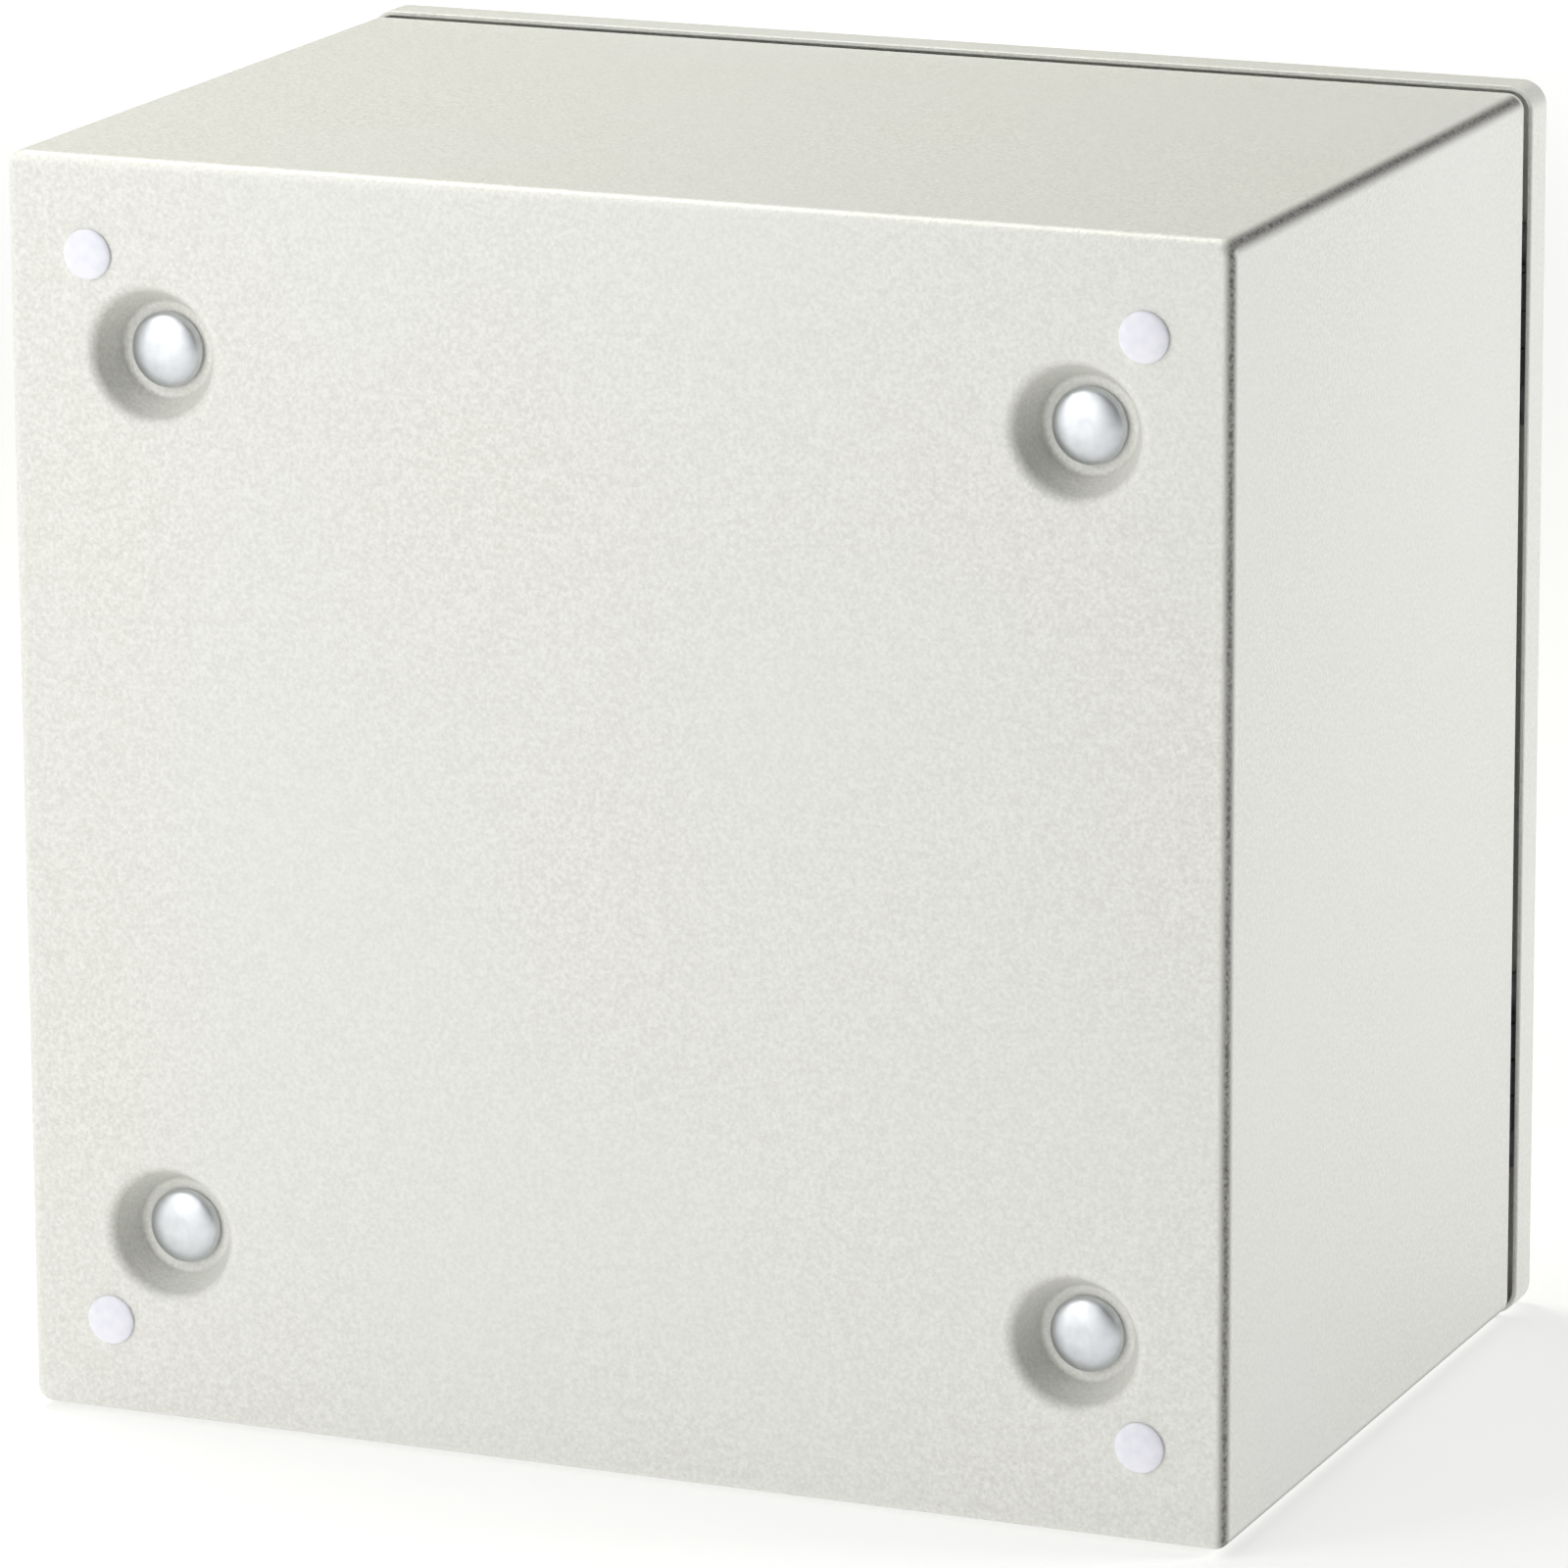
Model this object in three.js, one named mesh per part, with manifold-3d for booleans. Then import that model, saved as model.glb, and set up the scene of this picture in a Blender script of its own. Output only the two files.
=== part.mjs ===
// Small wall-mounted steel switchboard cabinet: folded body, hinged door, quarter-turn latch,
// mounting plate, gland plate and the fixings that hold them together.
// Millimetres. X is the width, Y the depth and Z is up. The door faces -Y and hangs on its -X side.
// The origin is the middle of the footprint, at the height of the door's lower edge.

import * as THREE from 'three';
import { mergeVertices } from 'three/addons/utils/BufferGeometryUtils.js';
import Module from 'manifold-3d';

const wasm = await Module();
wasm.setup();

// ---------- driving dimensions ----------

// cabinet
const CABINET_W = 300; // over the door
const CABINET_H = 300; // over the door
const CABINET_D = 210; // door front to back panel
const SHEET = 1.2; // steel sheet of body and door
const BEND_R = 3; // outer radius of the folds at the body's back and round the door's front
const FRONT_FOLD_R = 0.4; // inner radius of the tighter fold at the body's front flange
const CORNER_R = 4; // outer radius of the folds between the body's four sides
const CLEAR = 0.3; // gap kept between pieces that touch
const RUNNING = 0.1; // radial clearance where a piece turns
const HOLE_CLEAR = 0.3; // radial clearance of a bolt in its hole
const PAST = 1; // how far a solid that cuts or joins runs past the faces it meets

// door
const DOOR_OVERHANG = 1; // the door stands past the body on all four sides
const DOOR_GAP = 2.5; // between the door pan's rear edge and the body
const DOOR_CORNER_R = 6; // outer radius of its corners, seen from the front

// sealing lip and foam gasket
const LIP_H = 8; // height of the lip in front of the body
const LIP_CORNER_R = 6;
const GASKET_W = 9;
const GASKET_BITE = 1.7; // how far the lip sinks into the foam
const GROOVE_CLEAR = 0.5; // each side of the lip in the foam

// back panel: bolt recesses and wall-fixing holes, from the cabinet's outer sides
const RECESS_INSET_X = 37.5;
const RECESS_INSET_Z = 46;
const RECESS_RIM_R = 16.5;
const RECESS_FLOOR_R = 9.8;
const RECESS_DEPTH = 9;
const RECESS_SKIN = 0.85; // growth of its radius on the inner side, in sheet thicknesses
const WALL_HOLE_INSET_X = 21.75;
const WALL_HOLE_INSET_Z = 23.6;
const WALL_HOLE_R = 4.25;
const WALL_SEAT_DEPTH = 0.9; // pressed seat that takes the plug's flange

// wall-hole plug
const PLUG_R = 5.85;
const PLUG_RIM_PROUD = 0.8; // the flange's edge in front of the back panel
const PLUG_PROUD = 1.4; // its crown
const PLUG_STEM_L = 6;
const PLUG_BARB = 0.45; // the snap ring past the hole's edge
const PLUG_TAPER = 0.8; // lead-in of the stem's tip and of the snap ring

// mounting plate on four bolts
const BOLT_R = 3;
const BOLT_HEAD_R = 8.8;
const BOLT_HEAD_H = 3.2;
const BOLT_EDGE_H = 1; // straight edge under the head's crown
const BOLT_TAIL = 5; // bolt end past its plate nut
const M6_NUT_AF = 10;
const M6_NUT_H = 5;
const PLATE_T = 2;
const PLATE_MARGIN = 3.5; // between the plate's edge and the sealing lip, seen from the front
const PLATE_CORNER_CUT = 12; // leaves the wall-fixing holes in reach
const PLATE_SEAT_R = 9;
const PLATE_SEAT_DEPTH = 0.8;
const M6_WASHER_R = 6.2;
const M6_WASHER_T = 1.6;

// concealed hinges
const HINGE_INSET = 58.5; // hinge centre to the cabinet's top and bottom
const KNUCKLE_R = 3.5;
const KNUCKLE_GAP = 0.6; // knuckle to the door pan's side
const KNUCKLE_TO_LEAF = 0.43; // body knuckle to the door leaf that passes in front of it
const KNUCKLE_W = 8.7;
const KNUCKLE_WEB = 0.7; // half the width of the door leaf's webs, in knuckle radii
const PIN_R = 2;
const PIN_HEAD_R = 2.9;
const PIN_HEAD_H = 1.2;
const PIN_CHAMFER = 0.4;
const HINGE_HALF_H = 24.3; // half the height of both leaves
const SWING_MARGIN = 1.1; // extra pivot distance that keeps the pan's edge off the body
const ARM_T = 2.5;
const ARM_BELOW = 2.2; // the arm's front face in front of the pivot
const FOOT_T = 2.5;
const LEAF_T = 1.6;
const HINGE_SCREW_Z = 18.8; // leaf fixings above and below the hinge centre
const HINGE_SCREW_R = 1.75;
const HINGE_SCREW_HEAD_R = 3.2;
const HINGE_SCREW_HEAD_H = 1.7;
const HINGE_SCREW_L = 6;
const COLLAR_WALL = 1.4; // drawn collar behind the flange, threaded for the hinge screw
const COLLAR_H = 2;
const GASKET_TO_ARM = 0.7;
const LEAF_STUD_X = 4; // from the pivot
const LEAF_STUD_R = 2;
const M4_NUT_AF = 7;
const M4_NUT_H = 3.2;
const LEAF_STUD_TAIL = 1;

// gland plate over the cable entry in the base, fitted from inside
const GLAND_W = 200;
const GLAND_D = 100;
const GLAND_T = 1.5;
const GLAND_RIM = 15; // land between the entry cut-out and the plate's edge
const GLAND_GASKET_T = 2;
const GLAND_CORNER_R = 6;
const GLAND_STUD_R = 2.5;
const M5_NUT_AF = 8;
const M5_NUT_H = 4;
const GLAND_STUD_TAIL = 2.5;

// earth studs
const EARTH_R = 3;
const EARTH_L = 15;
const BODY_EARTH_INSET = 30; // from the body's side, and from its front
const DOOR_EARTH_INSET_X = 40; // from the door's hinged side
const DOOR_EARTH_INSET_Z = 36; // from the door's lower edge

// quarter-turn latch
const LATCH_INSET = 44; // its axis to the door's free side
const LATCH_FLANGE_R = 14;
const LATCH_FLANGE_T = 3.4;
const LATCH_EDGE_R = 1; // rounding of the flange's outer edge
const LATCH_SEAL_R = 13;
const LATCH_SEAL_T = 1;
const BARREL_R = 10;
const LATCH_NUT_AF = 27;
const LATCH_NUT_T = 5;
const ROTOR_R = 6.5;
const ROTOR_HEAD_R = 9.5;
const ROTOR_HEAD_T = 2.5;
const KEY_RECESS_R = 4.8;
const KEY_RECESS_DEPTH = 7;
const KEY_POST_R = 2.4;
const KEY_POST_BELOW = 1; // the post's end behind the rotor's face
const KEY_BIT_W = 3;
const CAM_T = 3;
const CAM_W = 14;
const CAM_TAIL = 9;
const CAM_TAIL_CUT = 2; // cut corners of the tail
const CAM_SQUARE = 8;
const CAM_ENGAGE = 6; // overlap behind the body's flange when latched
const CAM_FLANGE_GAP = 1;
const CAM_SCREW_R = 2;
const CAM_SCREW_L = 9;
const CAM_SCREW_HEAD_R = 5.5;
const CAM_SCREW_HEAD_H = 3;

// facets
const SMALL_SIDES = 12; // bolts and their holes
const ROUND_SIDES = 20; // recesses, plugs, washers
const TURN_SIDES = 28; // pieces that turn in each other
const ARC_STEPS = 3; // a quarter circle

// ---------- places that follow from them ----------

// hinge pivot: as close to the pan's side as the knuckle allows, and far enough forward of the body
// that the pan's rear edge swings clear of it; the pan is as deep as the hinge then needs
const pivotFromSide = SHEET + KNUCKLE_GAP + KNUCKLE_R;
const pivotForward = (pivotFromSide ** 2 + DOOR_GAP ** 2) / (2 * DOOR_GAP) + SWING_MARGIN;
const doorDepth = pivotForward - DOOR_GAP + KNUCKLE_R + KNUCKLE_TO_LEAF + LEAF_T + CLEAR + SHEET;

const latchProud = LATCH_FLANGE_T + LATCH_SEAL_T + 2 * CLEAR;
const halfDepth = (latchProud + CABINET_D + PLUG_PROUD) / 2;
const doorFrontY = latchProud - halfDepth;
const backY = doorFrontY + CABINET_D;
const doorInnerY = doorFrontY + SHEET;
const doorRearY = doorFrontY + doorDepth;
const bodyFrontY = doorRearY + DOOR_GAP;
const flangeRearY = bodyFrontY + SHEET;

const middleZ = CABINET_H / 2;
const bodyW = CABINET_W - 2 * DOOR_OVERHANG;
const bodyH = CABINET_H - 2 * DOOR_OVERHANG;
const floorZ = DOOR_OVERHANG + SHEET; // inner face of the body's base

const pivotX = pivotFromSide - CABINET_W / 2;
const pivotY = bodyFrontY - pivotForward;
const sweepR = Math.hypot(pivotFromSide, pivotForward - DOOR_GAP); // reach of the pan's rear edge
const armInnerX = sweepR + CLEAR;
const armOuterX = armInnerX + ARM_T;
const footFront = pivotForward - CLEAR - FOOT_T;
const footInnerX = Math.sqrt((sweepR + CLEAR) ** 2 - footFront ** 2);

// the sealing lip stands just inside the hinge arm, at the same distance on all four sides
const gasketOverlap = (GASKET_W - SHEET) / 2;
const lipInset = pivotFromSide - DOOR_OVERHANG + armOuterX + GASKET_TO_ARM + gasketOverlap + SHEET;
const mouthW = bodyW - 2 * lipInset;
const mouthH = bodyH - 2 * lipInset;
const lipTipY = bodyFrontY - LIP_H;
const gasketFaceY = lipTipY + GASKET_BITE;
const footOuterX = armOuterX + GASKET_TO_ARM + gasketOverlap - CLEAR;
const footScrewX = (footInnerX + footOuterX) / 2;
const leafNutY = doorInnerY + 2 * CLEAR + LEAF_T;

const recessX = CABINET_W / 2 - RECESS_INSET_X;
const recessZ = CABINET_H / 2 - RECESS_INSET_Z;
const recessFloorY = backY - RECESS_DEPTH;
const wallHoleX = CABINET_W / 2 - WALL_HOLE_INSET_X;
const wallHoleZ = CABINET_H / 2 - WALL_HOLE_INSET_Z;
const seatR = PLUG_R + CLEAR;

const clampNutY = recessFloorY - SHEET - CLEAR - M6_NUT_H; // front face of the clamp nut
const plateBackY = clampNutY - CLEAR - PLATE_SEAT_DEPTH;
const plateFrontY = plateBackY - PLATE_T;
const plateW = mouthW - 2 * PLATE_MARGIN;
const plateH = mouthH - 2 * PLATE_MARGIN;
const plateSeatY = plateFrontY + PLATE_SEAT_DEPTH;
const washerY = plateSeatY - CLEAR - M6_WASHER_T;
const plateNutY = washerY - CLEAR - M6_NUT_H;

const glandY = (bodyFrontY + backY) / 2;
const glandPlateZ = floorZ + 2 * CLEAR + GLAND_GASKET_T;
const glandNutZ = glandPlateZ + GLAND_T + CLEAR;
const glandStudX = GLAND_W / 2 - GLAND_RIM / 2;
const glandStudY = GLAND_D / 2 - GLAND_RIM / 2;
const entryW = GLAND_W - 2 * GLAND_RIM;
const entryD = GLAND_D - 2 * GLAND_RIM;

const bodyEarthX = BODY_EARTH_INSET - bodyW / 2;
const bodyEarthY = bodyFrontY + BODY_EARTH_INSET;
const doorEarthX = DOOR_EARTH_INSET_X - CABINET_W / 2;

const latchX = CABINET_W / 2 - LATCH_INSET;
const housingFrontY = doorFrontY - latchProud;
const camFrontY = flangeRearY + CAM_FLANGE_GAP;
const barrelRearY = camFrontY - CLEAR;
const camReach = mouthW / 2 + CAM_ENGAGE - latchX;

// ---------- solids ----------

function solidOf(geometry) {
  const bare = geometry.clone();
  bare.deleteAttribute('normal');
  bare.deleteAttribute('uv');
  const merged = mergeVertices(bare);
  const corners = merged.index.array;
  const triVerts = [];
  for (let i = 0; i < corners.length; i += 3) {
    const [a, b, c] = [corners[i], corners[i + 1], corners[i + 2]];
    if (a !== b && b !== c && c !== a) triVerts.push(a, b, c);
  }
  return new wasm.Manifold(new wasm.Mesh({
    numProp: 3,
    vertProperties: merged.attributes.position.array,
    triVerts: Uint32Array.from(triVerts),
  }));
}

function geometryOf(solid) {
  const mesh = solid.getMesh();
  const geometry = new THREE.BufferGeometry();
  geometry.setAttribute('position', new THREE.BufferAttribute(mesh.vertProperties, 3));
  geometry.setIndex(new THREE.BufferAttribute(mesh.triVerts, 1));
  geometry.computeVertexNormals();
  return geometry;
}

function join(...solids) {
  return solids.reduce((whole, next) => whole.add(next));
}

function cut(solid, ...tools) {
  return tools.reduce((rest, tool) => rest.subtract(tool), solid);
}

function box(x0, x1, y0, y1, z0, z1) {
  const geometry = new THREE.BoxGeometry(x1 - x0, y1 - y0, z1 - z0);
  return solidOf(geometry.translate((x0 + x1) / 2, (y0 + y1) / 2, (z0 + z1) / 2));
}

// a rod along Y
function rodY(r, y0, y1, x = 0, z = 0, sides = SMALL_SIDES) {
  const geometry = new THREE.CylinderGeometry(r, r, y1 - y0, sides);
  return solidOf(geometry.translate(x, (y0 + y1) / 2, z));
}

// a rod along Z
function rodZ(r, z0, z1, x = 0, y = 0, sides = SMALL_SIDES) {
  const geometry = new THREE.CylinderGeometry(r, r, z1 - z0, sides).rotateX(Math.PI / 2);
  return solidOf(geometry.translate(x, y, (z0 + z1) / 2));
}

// a profile of [radius, height] points turned about Y
function turnedY(profile, sides = ROUND_SIDES) {
  const points = profile.map(([r, y]) => new THREE.Vector2(r, y));
  return solidOf(new THREE.LatheGeometry(points, sides));
}

function roundedRect(w, h, r) {
  const [x, y] = [w / 2 - r, h / 2 - r];
  const shape = new THREE.Shape();
  shape.absarc(x, y, r, 0, Math.PI / 2);
  shape.absarc(-x, y, r, Math.PI / 2, Math.PI);
  shape.absarc(-x, -y, r, Math.PI, 1.5 * Math.PI);
  shape.absarc(x, -y, r, 1.5 * Math.PI, 2 * Math.PI);
  shape.closePath();
  return shape;
}

// a shape in X and Z, extruded from y0 to y1, with its ends rounded over by `fold`
function slabY(shape, y0, y1, z = middleZ, fold = 0) {
  const geometry = new THREE.ExtrudeGeometry(shape, {
    depth: y1 - y0 - 2 * fold,
    bevelEnabled: fold > 0,
    bevelThickness: fold,
    bevelSize: fold,
    bevelOffset: -fold,
    bevelSegments: ARC_STEPS,
    curveSegments: ARC_STEPS,
  });
  return solidOf(geometry.rotateX(Math.PI / 2).translate(0, y1 - fold, z));
}

// a shape in X and Y, extruded from z0 to z1
function slabZ(shape, z0, z1, y = 0) {
  const geometry = new THREE.ExtrudeGeometry(shape, {
    depth: z1 - z0,
    bevelEnabled: false,
    curveSegments: ARC_STEPS,
  });
  return solidOf(geometry.translate(0, y, z0));
}

// [radius, height] points of a dome, from its rim to its crown
function domePoints(rimR, rimY, crownY, steps) {
  const points = [];
  for (let i = 0; i <= steps; i += 1) {
    const angle = (i / steps) * Math.PI / 2;
    points.push([rimR * Math.cos(angle), rimY + (crownY - rimY) * Math.sin(angle)]);
  }
  points[steps][0] = 0;
  return points;
}

function arcPoints(cx, cy, r, from, to, steps) {
  const points = [];
  for (let i = 0; i <= steps; i += 1) {
    const angle = from + ((to - from) * i) / steps;
    points.push([cx + r * Math.cos(angle), cy + r * Math.sin(angle)]);
  }
  return points;
}

const fourCorners = [
  { name: 'lower_left', sx: -1, sz: -1 },
  { name: 'lower_right', sx: 1, sz: -1 },
  { name: 'upper_left', sx: -1, sz: 1 },
  { name: 'upper_right', sx: 1, sz: 1 },
];

const hinges = [
  { name: 'lower', z: HINGE_INSET },
  { name: 'upper', z: CABINET_H - HINGE_INSET },
];

const leafFixings = [
  { name: 'lower', z: -HINGE_SCREW_Z },
  { name: 'upper', z: HINGE_SCREW_Z },
];

// ---------- body ----------

// a slab in X and Z with one fold radius at its front and another at its back
function foldedBox(shape, y0, y1, frontFold, backFold) {
  return join(
    slabY(shape, y0, y1, middleZ, backFold),
    slabY(shape, y0, y0 + 2 * backFold, middleZ, frontFold),
  );
}

// The pressed recess is an S-curve from rim to floor. With `skin` it is the sheet's inner side.
function recessTool(skin) {
  const floorR = RECESS_FLOOR_R + RECESS_SKIN * skin;
  const rimR = RECESS_RIM_R + RECESS_SKIN * skin;
  const depth = RECESS_DEPTH + skin;
  const steps = ARC_STEPS + 2;
  const profile = [[0, -depth]];
  for (let i = 0; i < steps; i += 1) {
    const share = i / steps;
    profile.push([floorR + (rimR - floorR) * share, -depth * (1 + Math.cos(Math.PI * share)) / 2]);
  }
  const rim = skin > 0 ? [[rimR, -SHEET / 2], [0, -SHEET / 2]] : [[rimR, 0], [rimR, PAST], [0, PAST]];
  return turnedY([...profile, ...rim]);
}

function bodyShell() {
  const outline = roundedRect(bodyW, bodyH, CORNER_R);
  const inside = roundedRect(bodyW - 2 * SHEET, bodyH - 2 * SHEET, CORNER_R - SHEET);
  const mouth = roundedRect(mouthW, mouthH, LIP_CORNER_R);
  const lip = roundedRect(mouthW + 2 * SHEET, mouthH + 2 * SHEET, LIP_CORNER_R + SHEET);
  let shell = foldedBox(outline, bodyFrontY, backY, FRONT_FOLD_R + SHEET, BEND_R);
  shell = cut(shell, foldedBox(inside, flangeRearY, backY - SHEET, FRONT_FOLD_R, BEND_R - SHEET));
  shell = join(shell, slabY(lip, lipTipY, flangeRearY));
  shell = cut(shell, slabY(mouth, lipTipY - PAST, flangeRearY + PAST));

  for (const { sx, sz } of fourCorners) {
    const x = sx * recessX;
    const z = middleZ + sz * recessZ;
    shell = join(shell, recessTool(SHEET).translate([x, backY, z]));
    shell = cut(shell, recessTool(0).translate([x, backY, z]));
    shell = cut(shell, rodY(BOLT_R + HOLE_CLEAR, recessFloorY - 2 * SHEET, backY, x, z));

    const holeX = sx * wallHoleX;
    const holeZ = middleZ + sz * wallHoleZ;
    const seatY = backY - WALL_SEAT_DEPTH;
    const seatSkin = rodY(seatR + SHEET, seatY - SHEET, backY - SHEET / 2, holeX, holeZ, ROUND_SIDES);
    shell = join(shell, seatSkin);
    shell = cut(shell, rodY(seatR, seatY, backY + PAST, holeX, holeZ, ROUND_SIDES));
    shell = cut(shell, rodY(WALL_HOLE_R, seatY - 2 * SHEET, backY, holeX, holeZ));
  }

  // threaded collars for the hinge screws, drawn out of the front flange
  for (const hinge of hinges) {
    for (const fixing of leafFixings) {
      const [x, z] = [pivotX + footScrewX, hinge.z + fixing.z];
      const holeR = HINGE_SCREW_R + HOLE_CLEAR;
      const endY = flangeRearY + COLLAR_H;
      shell = join(shell, rodY(holeR + COLLAR_WALL, bodyFrontY + SHEET / 2, endY, x, z));
      shell = cut(shell, rodY(holeR, bodyFrontY - PAST, endY + PAST, x, z));
    }
  }

  // cable entry in the base, with its four welded studs
  const entry = roundedRect(entryW, entryD, GLAND_CORNER_R);
  shell = cut(shell, slabZ(entry, DOOR_OVERHANG - PAST, floorZ + PAST, glandY));
  const tipZ = glandNutZ + M5_NUT_H + GLAND_STUD_TAIL;
  for (const { sx, sz } of fourCorners) {
    const [x, y] = [sx * glandStudX, glandY + sz * glandStudY];
    shell = join(shell, rodZ(GLAND_STUD_R, floorZ - SHEET / 2, tipZ, x, y));
  }
  return join(shell, rodZ(EARTH_R, floorZ - SHEET / 2, floorZ + EARTH_L, bodyEarthX, bodyEarthY));
}

// ---------- back panel fixings ----------

// cup-headed bolt: the head sits in its recess and the shank points into the cabinet
function mountingBolt() {
  const length = recessFloorY + CLEAR - plateNutY + BOLT_TAIL;
  const head = domePoints(BOLT_HEAD_R, BOLT_EDGE_H, BOLT_HEAD_H, ARC_STEPS + 1);
  return turnedY([[0, -length], [BOLT_R, -length], [BOLT_R, 0], [BOLT_HEAD_R, 0], ...head]);
}

function hexNut(acrossFlats, height, holeR, holeSides = SMALL_SIDES) {
  const hexagon = rodY(acrossFlats / Math.sqrt(3), -height / 2, height / 2, 0, 0, 6);
  return cut(hexagon, rodY(holeR, -height, height, 0, 0, holeSides));
}

function washer(outerR, holeR, thickness) {
  const disc = rodY(outerR, -thickness / 2, thickness / 2, 0, 0, ROUND_SIDES);
  return cut(disc, rodY(holeR, -thickness, thickness));
}

// snap-in plastic plug: low domed flange, stem and barbed ring
function wallPlug() {
  const flangeY = CLEAR - WALL_SEAT_DEPTH;
  const stemR = WALL_HOLE_R - CLEAR;
  const barbY = -WALL_SEAT_DEPTH - SHEET - CLEAR;
  const tipY = flangeY - PLUG_STEM_L;
  return turnedY([
    [0, tipY],
    [stemR - PLUG_TAPER, tipY],
    [WALL_HOLE_R + PLUG_BARB, barbY - PLUG_TAPER],
    [WALL_HOLE_R + PLUG_BARB, barbY],
    [stemR, barbY],
    [stemR, flangeY],
    [PLUG_R, flangeY],
    ...domePoints(PLUG_R, PLUG_RIM_PROUD, PLUG_PROUD, ARC_STEPS),
  ]);
}

// ---------- mounting plate ----------

function mountingPlate() {
  const [x, z] = [plateW / 2, plateH / 2];
  const c = PLATE_CORNER_CUT;
  const outline = new THREE.Shape([
    [x - c, -z], [x, c - z], [x, z - c], [x - c, z], [c - x, z], [-x, z - c], [-x, c - z], [c - x, -z],
  ].map((point) => new THREE.Vector2(...point)));
  let plate = slabY(outline, plateFrontY, plateBackY);
  for (const { sx, sz } of fourCorners) {
    const [boltX, boltZ] = [sx * recessX, middleZ + sz * recessZ];
    const bossR = PLATE_SEAT_R + PLATE_SEAT_DEPTH;
    const bossY = plateBackY + PLATE_SEAT_DEPTH;
    plate = join(plate, rodY(bossR, plateBackY - PLATE_T / 2, bossY, boltX, boltZ, ROUND_SIDES));
    plate = cut(plate, rodY(PLATE_SEAT_R, plateFrontY - PAST, plateSeatY, boltX, boltZ, ROUND_SIDES));
    plate = cut(plate, rodY(BOLT_R + HOLE_CLEAR, plateFrontY, bossY + PAST, boltX, boltZ));
  }
  return plate;
}

// ---------- gland plate ----------

function glandPlate() {
  const outline = roundedRect(GLAND_W, GLAND_D, GLAND_CORNER_R);
  return cut(slabZ(outline, glandPlateZ, glandPlateZ + GLAND_T, glandY), ...glandStudHoles());
}

function glandGasket() {
  const z0 = floorZ + CLEAR;
  const outer = slabZ(roundedRect(GLAND_W, GLAND_D, GLAND_CORNER_R), z0, z0 + GLAND_GASKET_T, glandY);
  const entry = roundedRect(entryW, entryD, GLAND_CORNER_R);
  return cut(outer, slabZ(entry, z0 - PAST, z0 + GLAND_GASKET_T + PAST, glandY), ...glandStudHoles());
}

function glandStudHoles() {
  return fourCorners.map(({ sx, sz }) => rodZ(
    GLAND_STUD_R + HOLE_CLEAR, floorZ - PAST, glandNutZ, sx * glandStudX, glandY + sz * glandStudY,
  ));
}

// ---------- hinge, about its own pivot at the origin ----------

function hingeBodyLeaf() {
  const half = KNUCKLE_W / 2;
  let leaf = join(
    rodZ(KNUCKLE_R, -half, half, 0, 0, TURN_SIDES),
    box(0, armOuterX, -ARM_BELOW, ARM_T - ARM_BELOW, -half, half),
    box(armInnerX, armOuterX, -ARM_BELOW, footFront + FOOT_T / 2, -half, half),
    box(footInnerX, footOuterX, footFront, footFront + FOOT_T, -HINGE_HALF_H, HINGE_HALF_H),
  );
  leaf = cut(leaf, rodZ(PIN_R + RUNNING, -KNUCKLE_W, KNUCKLE_W, 0, 0, TURN_SIDES));
  for (const fixing of leafFixings) {
    leaf = cut(leaf, countersunkHole().translate([footScrewX, footFront, fixing.z]));
  }
  return leaf;
}

// the hole for a hinge screw through a foot whose front face is at the origin
function countersunkHole() {
  const mouthR = HINGE_SCREW_HEAD_R + CLEAR;
  const throatR = HINGE_SCREW_R + HOLE_CLEAR;
  return turnedY([
    [0, -PAST],
    [mouthR, -PAST],
    [mouthR, 0],
    [throatR, HINGE_SCREW_HEAD_H],
    [throatR, FOOT_T + PAST],
    [0, FOOT_T + PAST],
  ], SMALL_SIDES);
}

function hingeScrew() {
  return turnedY([
    [0, CLEAR / 2],
    [HINGE_SCREW_HEAD_R, CLEAR / 2],
    [HINGE_SCREW_R, HINGE_SCREW_HEAD_H],
    [HINGE_SCREW_R, HINGE_SCREW_L],
    [0, HINGE_SCREW_L],
  ], SMALL_SIDES);
}

function hingeDoorLeaf() {
  const innerY = doorInnerY - pivotY;
  const plateY = innerY + CLEAR;
  const edgeX = BEND_R + CLEAR - pivotFromSide; // clear of the pan's fold
  const knuckleTop = 1.5 * KNUCKLE_W + CLEAR;
  let leaf = box(edgeX, armOuterX, plateY, plateY + LEAF_T, -HINGE_HALF_H, HINGE_HALF_H);
  for (const side of [-1, 1]) {
    const [z0, z1] = [KNUCKLE_W / 2 + CLEAR, knuckleTop].map((z) => side * z).sort((a, b) => a - b);
    const web = box(-KNUCKLE_WEB * KNUCKLE_R, KNUCKLE_WEB * KNUCKLE_R, plateY + LEAF_T / 2, 0, z0, z1);
    leaf = join(leaf, rodZ(KNUCKLE_R, z0, z1, 0, 0, TURN_SIDES), web);
  }
  leaf = cut(leaf, rodZ(PIN_R + RUNNING, -2 * KNUCKLE_W, 2 * KNUCKLE_W, 0, 0, TURN_SIDES));
  for (const fixing of leafFixings) {
    const holeR = LEAF_STUD_R + HOLE_CLEAR;
    leaf = cut(leaf, rodY(holeR, plateY - PAST, plateY + LEAF_T + PAST, LEAF_STUD_X, fixing.z));
  }
  return leaf;
}

function hingePin() {
  const top = 1.5 * KNUCKLE_W + 2 * CLEAR;
  const foot = -1.5 * KNUCKLE_W - CLEAR;
  return turnedY([
    [0, foot],
    [PIN_R - PIN_CHAMFER, foot],
    [PIN_R, foot + PIN_CHAMFER],
    [PIN_R, top],
    [PIN_HEAD_R, top],
    ...domePoints(PIN_HEAD_R, top + PIN_HEAD_H / 2, top + PIN_HEAD_H, ARC_STEPS - 1),
  ], TURN_SIDES);
}

// ---------- door ----------

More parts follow.
